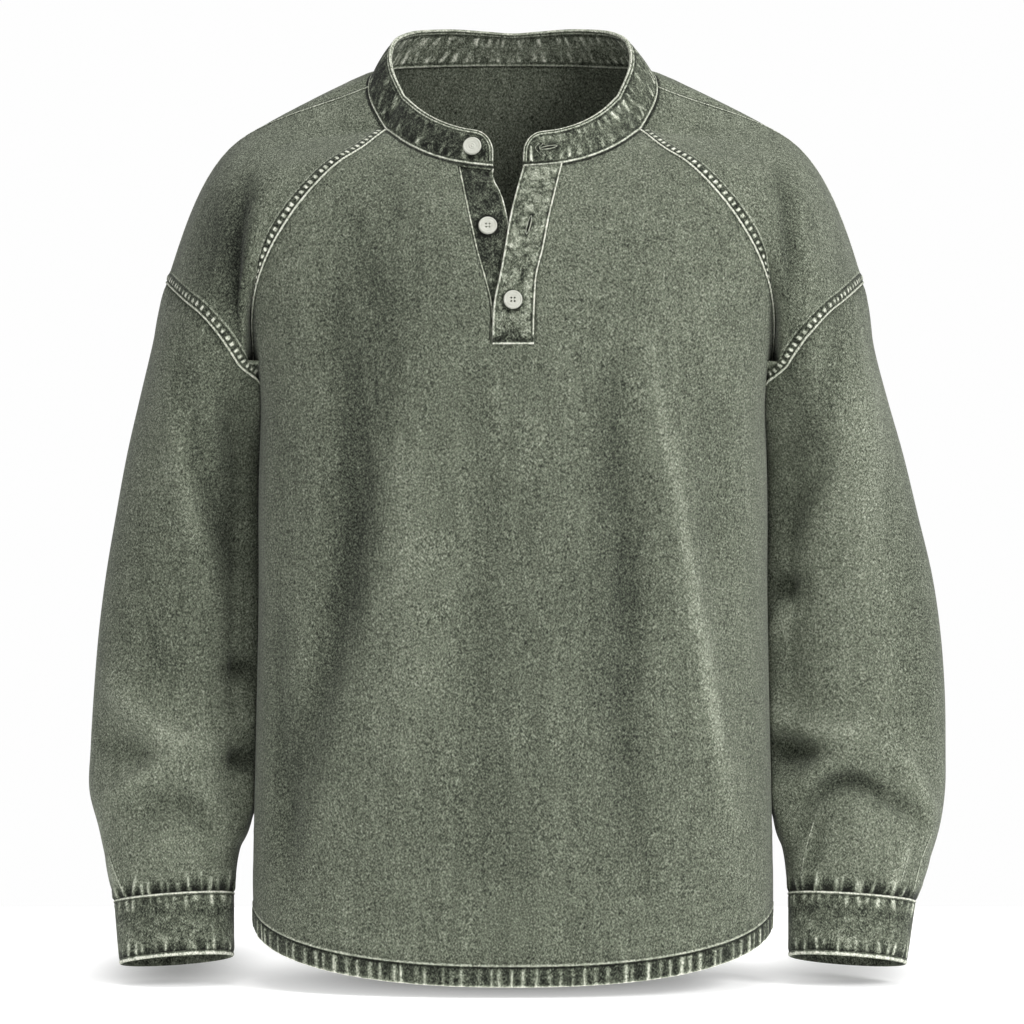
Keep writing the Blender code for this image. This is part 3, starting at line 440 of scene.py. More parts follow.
# %% The skin
class Skin:
    """Panels of points joined where they touch."""

    def __init__(self, panels):
        self.shape = {name: points.shape[:2] for name, points in panels.items()}
        stacked = np.concatenate([points.reshape(-1, 3) for points in panels.values()])
        _, first, back = np.unique(np.round(stacked, 2), axis=0, return_index=True,
                                   return_inverse=True)
        self.points = stacked[first]
        back = back.reshape(-1)
        self.index, quads, start = {}, [], 0
        for name, (rows, columns) in self.shape.items():
            ids = back[start:start + rows * columns].reshape(rows, columns)
            self.index[name] = ids
            quads.append(np.stack([ids[:-1, :-1], ids[:-1, 1:], ids[1:, 1:], ids[1:, :-1]],
                                  axis=2).reshape(-1, 4))
            start += rows * columns
        self.quads = np.concatenate(quads)

    def normals(self):
        a, b, c, d = (self.points[self.quads[:, k]] for k in range(4))
        face = np.cross(c - a, d - b)
        total = np.zeros_like(self.points)
        for k in range(4):
            np.add.at(total, self.quads[:, k], face)
        return unit(total)

    def relax(self, amount, passes):
        """Each point moves towards the middle of its neighbours, by its own amount."""
        for _ in range(passes):
            total, count = np.zeros_like(self.points), np.zeros(len(self.points))
            for k in range(4):
                here, following = self.quads[:, k], self.quads[:, (k + 1) % 4]
                np.add.at(total, here, self.points[following])
                np.add.at(total, following, self.points[here])
                np.add.at(count, here, 1)
                np.add.at(count, following, 1)
            middle = total / count[:, None]
            self.points += (middle - self.points) * amount[:, None]

    def panel(self, name, values=None):
        return (self.points if values is None else values)[self.index[name]]


LEFT, RIGHT = np.array([-1.0, 1, 1]), np.array([1.0, 1, 1])
SIDES = (("left", LEFT, False), ("right", RIGHT, True))
DROP = SHOULDER_ROWS
TOP = AROUND // 2      # the column along the top of the arm

panels = {"front": front_points(), "back": back_points()}
for side_name, mirror, is_right in SIDES:
    arm = arm_points(is_right) * mirror
    turn = slice(None, None, -1) if is_right else slice(None)
    panels["shoulder_front_" + side_name] = arm[:DROP + 1, :TOP + 1][:, turn]
    panels["shoulder_back_" + side_name] = arm[:DROP + 1, TOP:][:, turn]
    panels["sleeve_" + side_name] = arm[DROP:][:, turn]
skin = Skin(panels)
print("skin of", len(skin.points), "points and", len(skin.quads), "cells")

# %% [markdown]
# ## Folds
#
# Cloth that hangs from the shoulders falls into long soft folds, and a sleeve that is longer than
# the arm buckles above the cuff. Every fold here is a line across the cloth with its own depth and
# width, read off the picture: minus sinks in, plus stands out. A fold also changes the colour:
# below 0 it darkens the valley as painted shade, above 0 it pales a ridge as the washing does, with
# some painted highlight. The picture doesn't show the back, so the folds there are guessed, of the
# same kind.

# %% Folds of the body
BODY_FOLDS = [   # face, depth, width, painted shade of the valley (below 0) and paling of the ridge (above 0), and the line that it follows as (x, z)
    ("front", -9.0, 17, -0.45,
     [(-146, -190), (-125, -259), (-131, -388), (-140, -440), (-159, -507), (-185, -622)]),
    ("front", -4.5, 15, -0.15, [(-28, -215), (-26, -290), (-28, -414), (-31, -517), (-21, -636)]),
    ("front", -8.0, 15, -0.30, [(80, -229), (82, -321), (92, -429), (90, -543), (106, -646)]),
    ("front", 7.0, 14, 0.15, [(113, -262), (127, -331), (142, -424), (158, -517), (177, -590)]),
    ("front", 1.0, 6.0, 0.34, [(108, -215), (125, -320), (140, -413), (155, -506), (176, -610)]),
    ("front", -3.5, 14, -0.15, [(160, -240), (163, -420)]),
    ("front", 3.0, 18, 0.12, [(-86, -290), (-84, -450), (-92, -620)]),
    ("front", 2.5, 18, 0.10, [(36, -300), (38, -450), (36, -650)]),
    ("front", 2.0, 8, 0.12, [(-70, -92), (-52, -130), (-38, -158)]),
    ("front", -2.5, 9, -0.2, [(-101, -78), (-96, -105), (-90, -128)]),
    ("front", -3.0, 16, -0.30, [(-128, -110), (-108, -190), (-98, -280)]),
    ("front", -4.0, 12, -0.25, [(-196, -420), (-188, -560), (-176, -660)]),
    ("front", 2.0, 8, 0.12, [(-201, -250), (-199, -430), (-196, -640)]),
    ("back", -7.0, 16, -0.35, [(-128, -170), (-108, -300), (-112, -450), (-138, -610)]),
    ("back", -4.0, 18, -0.15, [(12, -210), (18, -360), (10, -520)]),
    ("back", -7.0, 15, -0.30, [(136, -160), (104, -290), (96, -440), (122, -600)]),
    ("back", 5.0, 14, 0.12, [(-62, -260), (-56, -420), (-70, -580)]),
    ("back", 1.0, 6.0, 0.3, [(148, -300), (134, -400), (142, -520), (158, -610)]),
]

# %% Folds of the arms
ARM_FOLDS = [   # face, depth, width, painted shade of the valley (below 0) and paling of the ridge (above 0), and the line that it follows as (x, z)
    # the crease in front of each armhole
    ("front", -8.0, 9, -0.9, [(-214, -86), (-221, -120), (-223, -170), (-215, -215)]),
    ("front", -3.0, 20, -0.55, [(-240, -90), (-238, -150), (-232, -210)]),
    ("front", -6.0, 8, -0.6, [(215, -78), (220, -110), (221, -170), (214, -200)]),
    # the viewer's left sleeve
    ("front", -6.0, 13, -0.4, [(-266, -225), (-258, -290), (-244, -345), (-226, -392)]),
    ("front", 4.0, 11, 0.15, [(-276, -278), (-258, -373), (-240, -437)]),
    ("front", -5.0, 16, -0.5, [(-236, -225), (-226, -300), (-222, -390)]),
    ("front", -3.0, 13, -0.25, [(-300, -450), (-283, -478), (-262, -490)]),
    ("front", 8.0, 11, 0.25,
     [(-331, -488), (-313, -510), (-293, -528), (-266, -539), (-238, -546)]),
    ("front", -7.0, 12, -0.25, [(-338, -536), (-318, -545), (-293, -555)]),
    ("front", 5.0, 8, 0.15, [(-333, -588), (-306, -571), (-289, -560), (-275, -548)]),
    ("front", 5.0, 9, 0.1, [(-266, -555), (-251, -578), (-232, -615)]),
    ("front", -9.0, 9, -0.35,
     [(-299, -596), (-284, -588), (-268, -590), (-254, -600), (-242, -608)]),
    ("front", -9.0, 10, -0.7, [(-203, -478), (-231, -481)]),
    ("front", -9.0, 10, -0.7, [(-203, -552), (-232, -554)]),
    ("front", 4.0, 10, 0.1, [(-248, -526), (-210, -518)]),
    ("front", 3.0, 16, 0.1, [(-300, -622), (-262, -622)]),
    # the viewer's right sleeve
    ("front", -6.0, 13, -0.4, [(266, -195), (255, -250), (246, -309), (222, -378)]),
    ("front", -6.0, 14, -0.6, [(222, -205), (226, -290), (216, -370)]),
    ("front", 5.0, 15, 0.12, [(289, -235), (284, -362), (284, -442)]),
    ("front", 2.0, 7, 0.25, [(227, -236), (225, -330)]),
    ("front", -9.0, 11, -0.7, [(203, -402), (230, -419)]),
    ("front", 3.0, 6, 0.2, [(233, -421), (221, -451), (209, -474)]),
    ("front", 7.0, 10, 0.25, [(211, -505), (228, -524), (252, -532), (284, -531)]),
    ("front", -10.0, 11, -0.6, [(205, -545), (226, -548), (248, -546)]),
    ("front", 5.0, 8, 0.15, [(215, -589), (237, -571), (254, -555)]),
    ("front", -10.0, 8, -0.5,
     [(238, -590), (255, -575), (277, -571), (299, -582), (323, -596), (335, -606)]),
    ("front", 4.0, 6, 0.2, [(236, -580), (254, -564), (275, -560), (298, -569)]),
    ("front", 5.0, 8, 0.3, [(306, -540), (329, -576), (338, -602), (335, -622)]),
    ("front", 5.0, 17, 0.1, [(262, -602), (312, -606)]),
    ("front", -4.0, 8, -0.3, [(243, -600), (243, -636)]),
    ("front", 1.6, 4, 0.35, [(249, -590), (238, -626), (231, -648)]),
    ("front", 1.6, 3.6, 0.35, [(323, -622), (314, -641), (312, -662)]),
    ("front", 1.6, 4, 0.3, [(-329, -630), (-323, -650), (-317, -668)]),
    # behind, as in front
    ("back", -7.0, 12, -0.4, [(-322, -470), (-280, -500), (-240, -486)]),
    ("back", 5.0, 10, 0.2, [(-330, -520), (-290, -545), (-246, -540)]),
    ("back", -8.0, 10, -0.4, [(-318, -590), (-280, -574), (-244, -594)]),
    ("back", -7.0, 12, -0.4, [(326, -476), (284, -506), (242, -490)]),
    ("back", 5.0, 10, 0.2, [(334, -524), (292, -548), (248, -542)]),
    ("back", -8.0, 10, -0.4, [(328, -594), (286, -578), (246, -598)]),
]


# %% Laying the folds
FOLD_STEPS = 24


def folded(points, normals, folds):
    """How far each point moves along its normal, and how much it is darkened as painted shade
    (below 0) and paled (above 0).
    """
    moved, shaded_and_paled = np.zeros(len(points)), np.zeros(len(points))
    flat = points[:, [0, 2]]
    for face, depth, width, shade_and_pale, marks in folds:
        path = evenly([(x, 0, z) for x, z in marks], FOLD_STEPS)[:, [0, 2]]
        low, high = path.min(axis=0), path.max(axis=0)
        reach = 3 * width
        near = np.nonzero(((flat > low - reach) & (flat < high + reach)).all(axis=1))[0]
        away = np.full(len(near), 1e9)
        place = np.zeros(len(near))
        for k in range(len(path) - 1):
            line = path[k + 1] - path[k]
            s = np.clip(((flat[near] - path[k]) @ line) / (line @ line), 0, 1)
            gap = np.linalg.norm(flat[near] - path[k] - s[:, None] * line, axis=1)
            nearer = gap < away
            away[nearer], place[nearer] = gap[nearer], (k + s[nearer]) / (len(path) - 1)
        turn = -normals[near, 1] if face == "front" else normals[near, 1]
        facing = np.clip((turn - 0.15) / 0.45, 0, 1)
        taper = np.sin(np.pi * np.clip(0.06 + 0.88 * place, 0, 1)) ** 0.6
        shape = taper * np.exp(-(away / width) ** 2) * facing
        moved[near] += depth * shape
        # painted shade in a fold's valley, and a paler ridge from the wash with some painted
        # highlight
        shaded_and_paled[near] += shade_and_pale * shape
    return moved, shaded_and_paled


normals = skin.normals()
is_body = np.zeros(len(skin.points), bool)
for name in ("front", "back"):
    is_body[skin.index[name].ravel()] = True
body_move, body_shade_and_pale = folded(skin.points, normals, BODY_FOLDS)
arm_move, arm_shade_and_pale = folded(skin.points, normals, ARM_FOLDS)
# the cloth's wear and painted shade, starting with that of the folds
skin_wear_and_shade = np.where(is_body, body_shade_and_pale, arm_shade_and_pale)
skin.points += normals * np.where(is_body, body_move, arm_move)[:, None]

# the cloth turns softly under the arm, where the three panels meet at an angle
UNDERARM_SOFT = 34.0
UNDERARM_PASSES = 40
UNDERARM_BELOW = 12     # the softest place, under the seam
under = np.abs(skin.points[:, 2] - UNDERARM[2] + UNDERARM_BELOW) / UNDERARM_SOFT
skin.relax(0.5 * np.exp(-under**2) * is_body, UNDERARM_PASSES)

# %% Sleeves that rest against the body
# Cloth nearer to the body than `near` is drawn in until `gap` is left, and less of it up to `far`.
# This begins at the height `from`, is whole `over` lower, and fades out over `leave` down to `to`.
TOUCH = {"gap": 0.7, "near": 12.0, "far": 20.5, "from": -236.0, "over": 16.0, "to": -626.0,
         "leave": 34.0}
body_quads = skin.quads[is_body[skin.quads].all(axis=1)]
body_tree = BVHTree.FromPolygons([tuple(p) for p in skin.points], [tuple(q) for q in body_quads])
moved = 0
for k in np.nonzero(~is_body & (skin.points[:, 2] < TOUCH["from"]))[0]:
    found, _, _, far = body_tree.find_nearest(Vector(skin.points[k]), TOUCH["far"])
    if found is None or far < TOUCH["gap"]:
        continue
    share = np.clip((TOUCH["far"] - far) / (TOUCH["far"] - TOUCH["near"]), 0, 1)
    share *= np.clip((TOUCH["from"] - skin.points[k, 2]) / TOUCH["over"], 0, 1)
    share *= np.clip((skin.points[k, 2] - TOUCH["to"]) / TOUCH["leave"], 0, 1)
    skin.points[k] += (np.array(found) - skin.points[k]) * share * (1 - TOUCH["gap"] / far)
    moved += 1
print(moved, "points of the sleeves lean on the body")
normals = skin.normals()
print("folds laid, deepest", round(float(np.abs(body_move).max()), 1), "mm")

# %% [markdown]
# ## Puckers
#
# Thread is tighter than cloth. When the garment is washed and the cloth shrinks, each seam draws
# it up into small ridges across the stitching, and the wash bleaches their tops. Hems, cuffs and
# collars of such garments show rows of pale ridges and dark valleys; here the valleys and a band
# along the seam are darkened as painted shade. No two are alike, so each ridge gets its own place,
# height, length, width and lean from a seeded table.

# %% Puckers along an edge
class Puckers:
    """Ridges across an edge; `height` is about 0 on average, up to 1 on the tops."""

    def __init__(self, length, spacing, reach, seed, lean=0.15, width=0.24):
        chance = np.random.default_rng(seed)
        count = max(2, int(round(length / spacing)))
        self.place = (np.arange(count) + chance.uniform(-0.3, 0.3, count)) * length / count
        self.tall = chance.uniform(0.45, 1.15, count)
        self.reach = reach * chance.uniform(0.6, 1.25, count)
        self.lean = chance.normal(0, lean, count)
        self.width = spacing * width * chance.uniform(0.75, 1.35, count)
        self.length = length

    def height(self, along, away):
        """Ridges at `along` mm of the edge, `away` mm from it."""
        total = np.zeros(np.broadcast(along, away).shape)
        for k in range(len(self.place)):
            gap = along - self.place[k] - self.lean[k] * away
            gap = (gap + self.length / 2) % self.length - self.length / 2
            fall = np.clip(1 - away / self.reach[k], 0, 1)
            total += self.tall[k] * np.exp(-(gap / self.width[k]) ** 2) * fall * (2 - fall)
        return total - 0.35 * np.clip(1 - away / self.reach.mean(), 0, 1)


# %% Seams that draw the cloth in
# the wash pales the ridge tops; the valleys, and `dark` along the seam itself, are painted shade
CUFF_GATHERS = {"spacing": 8.0, "reach": 17.0, "tall": 2.6, "shade_and_pale": 2.3, "swell": 1.1, "dark": 1.1}
SLEEVE_TOP = {"spacing": 8.0, "reach": 20.0, "tall": 0.9, "shade_and_pale": 0.40, "swell": 0.6, "dark": 0.25}
HEM_DRAW = {"spacing": 9.6, "reach": 16.0, "tall": 0.6, "shade_and_pale": 0.30, "swell": 0.3, "dark": 0.15}
SEAM_DRAW = {"spacing": 7.0, "reach": 11.0, "tall": 0.4, "shade_and_pale": 0.20, "swell": 0.3, "dark": 0.2}
EDGES = {"low": lambda ids: ids, "high": lambda ids: ids[::-1], "start": lambda ids: ids.T,
         "end": lambda ids: ids.T[::-1]}
# `rows`, where the moved rows end, `swell` and `dark` count in reaches of the ridges, `ease` in
# millimetres; `lean` and `width` are the ridges' own. `dark` is how far the painted shade along
# the seam reaches.
DRAW ={"rows": 2.3, "swell": 2.2, "dark": 0.45, "ease": 2.5, "lean": 0.16, "width": 0.19}


def draw_in(panel, edge, kind, seed):
    """Ridges that run from a panel's edge into the cloth, with their paler tops and painted shade.
    """
    ids = EDGES[edge](skin.index[panel])
    points = skin.points[ids]
    away = np.concatenate([np.zeros((1, ids.shape[1])),
                           np.cumsum(np.linalg.norm(np.diff(points, axis=0), axis=2), axis=0)])
    rows = int((away.min(axis=1) < DRAW["rows"] * kind["reach"]).sum())
    ids, away, along = ids[:rows], away[:rows], lengths(points[0])
    ridges = Puckers(along[-1], kind["spacing"], kind["reach"], seed, lean=DRAW["lean"],
                     width=DRAW["width"])
    draw = ridges.height(along[None], away)
    ease = np.clip(away / DRAW["ease"], 0, 1)
    swell = np.sin(np.pi * np.clip(away / (DRAW["swell"] * kind["reach"]), 0, 1)) ** 0.7
    flat = ids.ravel()
    _, once = np.unique(flat, return_index=True)
    lift = (kind["tall"] * draw * ease + kind["swell"] * swell).ravel()[once]
    skin.points[flat[once]] += normals[flat[once]] * lift[:, None]
    # painted shade: a dark band along the seam, and darker valleys between the ridges
    deep = np.exp(-(away / (DRAW["dark"] * kind["reach"])) ** 2)
    paled_and_shaded = kind["shade_and_pale"] * draw - kind["dark"] * deep
    skin_wear_and_shade[flat[once]] += paled_and_shaded.ravel()[once]


for number, side_name in enumerate(("left", "right")):
    draw_in("sleeve_" + side_name, "high", CUFF_GATHERS, 80 + number)
    draw_in("sleeve_" + side_name, "low", SLEEVE_TOP, 82 + number)
    draw_in("shoulder_front_" + side_name, "low", SEAM_DRAW, 86 + number)
for number, face in enumerate(("front", "back")):
    draw_in(face, "low", HEM_DRAW, 84 + number)
    draw_in(face, "high", SEAM_DRAW, 90 + number)
    for edge in ("start", "end"):
        draw_in(face, edge, SEAM_DRAW, 92 + number)
normals = skin.normals()


# %% Patches of painted shade and painted light
PAINTED_LIGHT_AND_SHADE = [   # x, z, reach across, reach up and down, how much paler (above 0) and darker (below 0) it is painted
    (5, -621, 190, 130, -0.28), (0, -330, 200, 240, -0.10), (37, -423, 60, 90, -0.22),
    (-132, -350, 24, 120, -0.36), (-89, -155, 70, 90, -0.20), (86, -376, 25, 130, -0.20),
    (136, -392, 18, 120, -0.15), (-195, -392, 20, 200, -0.15), (-283, -423, 42, 70, -0.36),
    (-230, -423, 15, 50, -0.18), (230, -305, 24, 60, 0.26), (276, -281, 50, 60, 0.12),
    (270, -570, 32, 11, -0.42), (330, -455, 20, 100, -0.20),
]
in_front = np.clip(0.5 - 2.0 * normals[:, 1], 0, 1)
# painted light and painted shade on the cloth that faces the front
for x, z, wide, tall, amount in PAINTED_LIGHT_AND_SHADE:
    far = ((skin.points[:, 0] - x) / wide) ** 2 + ((skin.points[:, 2] - z) / tall) ** 2
    skin_wear_and_shade += amount * np.exp(-far) * in_front

# %% [markdown]
# ## Making a piece of cloth
#
# Every piece starts as Blender's own grid, whose cells are then laid where the pattern says.
# Two numbers are kept at each point of the cloth for its colour. The first is how far the dye has
# gone (above 0); below 0 it is painted shade in creases, grooves, valleys and under edges, with
# some dye that stayed deep. The second, `mottle`, is how blotchy the cloth is there.

# %% Cloth from a grid
def outward(points, out):
    """Whether the faces of a grid of points look the way that `out` does."""
    a, c = points[:-1, :-1], points[1:, 1:]
    b, d = points[:-1, 1:], points[1:, :-1]
    return float((np.cross(c - a, d - b) * out[:-1, :-1]).sum()) > 0


def mesh_of(name, work):
    """The mesh of a finished bmesh, which is then freed."""
    mesh = bpy.data.meshes.new(name)
    work.to_mesh(mesh)
    work.free()
    return mesh


def new_object(name, mesh):
    made = bpy.data.objects.new(name, mesh)
    bpy.context.scene.collection.objects.link(made)
    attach(made, "root")
    return made


cuts = {}    # for each cloth, how wide and how long it was cut, in mm


def cut_size(name, points):
    """Width and length of the rectangle that a piece is cut from."""
    if name.startswith("shoulder"):    # a curved wedge: its extent across its own two widest ways
        spread = points.reshape(-1, 3) - points.mean(axis=(0, 1))
        return np.ptp(spread @ np.linalg.svd(spread, full_matrices=False)[2].T, axis=0)[:2]
    wide = max(lengths(row)[-1] for row in points)
    return wide, max(lengths(points[:, k])[-1] for k in range(0, points.shape[1], 3))


def cloth(name, points, wear=0.0, mottle=0.0, out=None, hole=None, weld=False):
    """A smooth mesh of (rows, columns) points in mm, with its dye and painted shade; `out` turns it
    outwards.
    """
    cuts[name] = cut_size(name, points)
    shape = points.shape[:2]
    wear, mottle = np.broadcast_to(wear, shape), np.broadcast_to(mottle, shape)
    if out is not None and not outward(points, np.broadcast_to(out, points.shape)):
        points, wear, mottle = points[:, ::-1], wear[:, ::-1], mottle[:, ::-1]
    rows, columns = shape[0] - 1, shape[1] - 1
    work = bmesh.new()
    bmesh.ops.create_grid(work, x_segments=columns, y_segments=rows, size=0.5)
    mesh = mesh_of(name, work)
    flat = np.empty(len(mesh.vertices) * 3, np.float32)
    mesh.vertices.foreach_get("co", flat)
    flat = flat.reshape(-1, 3) + 0.5
    c, r = (np.rint(flat[:, k] * n).astype(int) for k, n in ((0, columns), (1, rows)))
    mesh.vertices.foreach_set("co", (points[r, c] * MM).astype(np.float32).ravel())
    for key, values in (("wear", wear), ("mottle", mottle)):
        layer = mesh.attributes.new(key, "FLOAT", "POINT")
        layer.data.foreach_set("value", values[r, c].astype(np.float32))
    if hole is not None or weld:
        work = bmesh.new()
        work.from_mesh(mesh)
        work.faces.ensure_lookup_table()
        if hole is not None:
            corner = np.empty(len(mesh.loops), np.int32)
            mesh.loops.foreach_get("vertex_index", corner)
            gone = np.nonzero(hole(*(at[corner].reshape(-1, 4).min(axis=1) for at in (r, c))))[0]
            bmesh.ops.delete(work, geom=[work.faces[k] for k in gone], context="FACES")
        if weld:
            bmesh.ops.remove_doubles(work, verts=work.verts, dist=0.02 * MM)
            bmesh.ops.recalc_face_normals(work, faces=work.faces)
        work.to_mesh(mesh)
        work.free()
    mesh.shade_smooth()
    return new_object(name, mesh)


def give_wall(made, thick):
    """The cloth's own thickness, inwards from its outer face."""
    wall = made.modifiers.new("cloth", "SOLIDIFY")
    wall.thickness = thick * MM
    wall.offset = -1
    wall.use_even_offset = False


# %% [markdown]
# ## The large panels
#
# Front, back, four shoulder parts and two sleeves are cut from one layer of cloth, about 1.3 mm
# thick. The front is slit above the buttoned opening: those cells are left out.

# %% Panels
CLOTH = 1.3
slot_first_row = BODY_STEPS + int(round(SEAM_STEPS * CHEST_LEVELS.index(SLOT_BOTTOM)
                                        / (len(CHEST_LEVELS) - 1)))


def in_slot(row, column):
    return (row >= slot_first_row) & (column >= SIDE_CELLS) & (column < SIDE_CELLS + SLOT_CELLS)


made_panels = {}
for name in panels:
    made = cloth(name + "_cloth", skin.panel(name), wear=skin.panel(name, skin_wear_and_shade),
                 hole=in_slot if name == "front" else None, weld=name.startswith("sleeve"))
    give_wall(made, CLOTH)
    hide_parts(name)
    made_panels[name] = made
    print(name, len(made.data.polygons), "cells")

# %% [markdown]
# ## Felled seams
#
# The raglan and drop seams are felled: both edges of cloth are folded into each other and sewn
# down flat with two rows of stitching, which makes a raised band about 9 mm wide on one side of
# the seam. The fold along the seam is bleached to a pale line. Between the rows, the band shrinks
# into a string of small pale lumps. The line beside the fold, the ditch of the stitching and the
# band between the lumps are painted dark, as shade. The seam over the shoulder shows only its ditch
# and edge, and so do the side and underarm seams, which are pressed flatter. Each is a narrow grid
# with its own section, laid along the seam on the skin.

# %% Laying things on the skin
skin_tree = BVHTree.FromPolygons([tuple(p) for p in skin.points], [tuple(q) for q in skin.quads])


def on_skin(points):
    """The nearest places of the skin, and which way it faces there."""
    flat = points.reshape(-1, 3)
    place, facing = np.empty_like(flat), np.empty_like(flat)
    for k, point in enumerate(flat):
        found, _, cell, _ = skin_tree.find_nearest(Vector(point))
        place[k] = found
        corners = skin.quads[cell]
        gap = ((skin.points[corners] - place[k]) ** 2).sum(axis=1)
        facing[k] = (normals[corners] / (gap + 0.5)[:, None]).sum(axis=0)
    return place.reshape(points.shape), unit(facing).reshape(points.shape)


def arm_line(side_name, part, row=None, column=None):
    """A line of the shoulder's cells, as if on the left: a whole row or a whole column."""
    points = skin.panel(part + "_" + side_name)
    if side_name == "right":
        points = points[:, ::-1]
    return points[row] if column is None else points[:, column]


# %% The section of a felled seam and its lumps
# pale on the fold and the lumps; below 0, painted shade beside the fold and along the band
FELL = {
    "across": [-1.8, -1.1, -0.6, -0.1, 0.5, 1.0, 1.5, 2.1, 2.9, 3.9, 5.0, 6.1, 7.1, 7.9, 8.5, 9.0,
               9.6, 10.3, 11.0],
    "lift":   [-0.6, 0.1, 0.9, 1.35, 1.4, 1.1, 0.65, 0.85, 1.1, 1.2, 1.25, 1.2, 1.1, 0.9, 0.6,
               0.75, 0.7, 0.3, -0.5],
    "wear":   [-0.3, -1.2, 0.9, 1.5, 1.3, 0.2, -1.1, -1.0, -0.9, -0.85, -0.85, -0.85, -0.9, -1.0,
               -1.0, 0.35, 0.45, 0.1, 0.0],
    "lump":   [0, 0, 0, 0, 0, 0, 0, 0.1, 0.8, 1, 1, 0.7, 0.1, 0, 0, 0, 0, 0, 0],
}
LUMP_SPACING = 5.9
LUMP_TALL = 0.5
LUMP_PALE = 2.6        # how far the dye has gone from a lump
SEAM_CELL = 0.75       # length of a cell along a seam
SEAM_SOFTEN = 6        # passes that smooth a seam along its line
FACING_SOFTEN = 8
TAPER_SINK = 0.6       # how deep a tapered band's ends lie


def lumps(length, along, seed):
    """Rounded lumps along a band, uneven in place, size and brightness."""
    chance = np.random.default_rng(seed)
    count = max(1, int(length / LUMP_SPACING))
    total = np.zeros(len(along))
    for k in range(count):
        middle = (k + 0.5 + chance.uniform(-0.12, 0.12)) * length / count
        wide = chance.uniform(1.2, 1.6)
        total += chance.uniform(0.8, 1.1) * np.exp(-((along - middle) / wide) ** 6)
    return total


# its ditch is painted dark, as shade
PLAIN = {   # a seam whose band lies behind it, so that only its ditch and edge show
    "across": [-2.2, -1.5, -1.0, -0.5, 0.0, 0.5, 1.0, 1.6, 2.4, 3.4],
    "lift":   [-0.5, 0.05, 0.15, 0.5, 0.75, 0.6, 0.3, 0.25, 0.1, -0.5],
    "wear":   [-0.3, -1.0, -1.0, 0.7, 1.2, 0.6, -1.0, -1.1, -0.5, 0.0],
    "lump":   [0] * 10,
}


FLAT = dict(PLAIN, lift=[0.4 * lift for lift in PLAIN["lift"]])   # pressed between sleeve and body


def felled_seam(name, line, beside, seed, shape=FELL, bright=1.0, taper=0.0):
    """A band along the line of a seam, on the side where `beside` runs; `taper` sinks its ends."""
    count = int(lengths(line)[-1] / SEAM_CELL)
    spots = np.linspace(0, lengths(line)[-1], count + 1)
    share = lengths(line) / lengths(line)[-1]
    inner = between(np.linspace(0, 1, count + 1), share, beside)
    line = soften(cut_at(line, spots), SEAM_SOFTEN)
    _, facing = on_skin(line)
    facing = unit(soften(facing, FACING_SOFTEN))
    forward = unit(np.gradient(line, axis=0))
    across = unit(np.cross(forward, facing))
    across *= np.sign(((inner - line) * across).sum())
    steps = np.array(shape["across"])
    spread = line[:, None] + across[:, None] * steps[:, None]
    base, out = on_skin(spread)
    base = soften(base, SEAM_SOFTEN)
    out = unit(soften(out, SEAM_SOFTEN))
    bumps = lumps(spots[-1], spots, seed)[:, None] * np.array(shape["lump"])
    lift = np.array(shape["lift"]) + LUMP_TALL * bumps
    wear = (np.array(shape["wear"]) + LUMP_PALE * bumps) * bright
    if taper:
        ends = np.clip(np.minimum(spots, spots[-1] - spots) / taper, 0, 1)[:, None]
        lift, wear = (lift + TAPER_SINK) * ends - TAPER_SINK, wear * ends
    band = base + out * lift[:, :, None]
    made = cloth(name, band, wear=wear, mottle=0.1, out=out)
    return made, band, out[:, len(steps) // 2]


# %% Sewing the felled seams
seam_bands, thread_rows = [], []
RAGLAN_COLUMN = SEAM_STEPS
NEAR_THREAD, FAR_THREAD = 6, 14    # columns of a band that its thread lies on
for seed, side_name in enumerate(("left", "right")):
    front_part, back_part = "shoulder_front", "shoulder_back"
    neck_cells = TOP - RAGLAN_COLUMN
    lines = {
        "raglan_front": (arm_line(side_name, front_part, row=0)[:RAGLAN_COLUMN + 1],
                         arm_line(side_name, front_part, row=4)[:RAGLAN_COLUMN + 1], FELL, 1.0),
        "raglan_back": (arm_line(side_name, back_part, row=0)[neck_cells:],
                        arm_line(side_name, back_part, row=4)[neck_cells:], FELL, 1.0),
        "drop": (np.vstack([arm_line(side_name, front_part, row=-1),
                            arm_line(side_name, back_part, row=-1)[1:]]),
                 np.vstack([arm_line(side_name, front_part, row=-5),
                            arm_line(side_name, back_part, row=-5)[1:]]), FELL, 0.85),
        "shoulder_top": (arm_line(side_name, front_part, column=-1),
                         arm_line(side_name, back_part, column=4), PLAIN, 0.8),
        "underarm": (arm_line(side_name, "sleeve", column=0)[8:-3],
                     arm_line(side_name, "sleeve", column=-5)[8:-3], FLAT, 0.6),
    }
    side_column, beside_column = (0, -5) if side_name == "left" else (-1, 4)
    body_rows = slice(0, BODY_STEPS - 3)
    lines["side"] = (skin.panel("front")[body_rows, side_column],
                     skin.panel("back")[body_rows, beside_column], FLAT, 0.6)
    for number, (part, (line, beside, shape, bright)) in enumerate(lines.items()):
        made, band, out = felled_seam(part + "_seam_" + side_name, line, beside,
                                      seed=10 * seed + number, shape=shape, bright=bright)
        seam_bands.append(made)
        thread_rows.append((band[:, NEAR_THREAD], out))
        if shape is FELL:
            thread_rows.append((band[:, FAR_THREAD], out))
print(len(seam_bands), "felled seams")

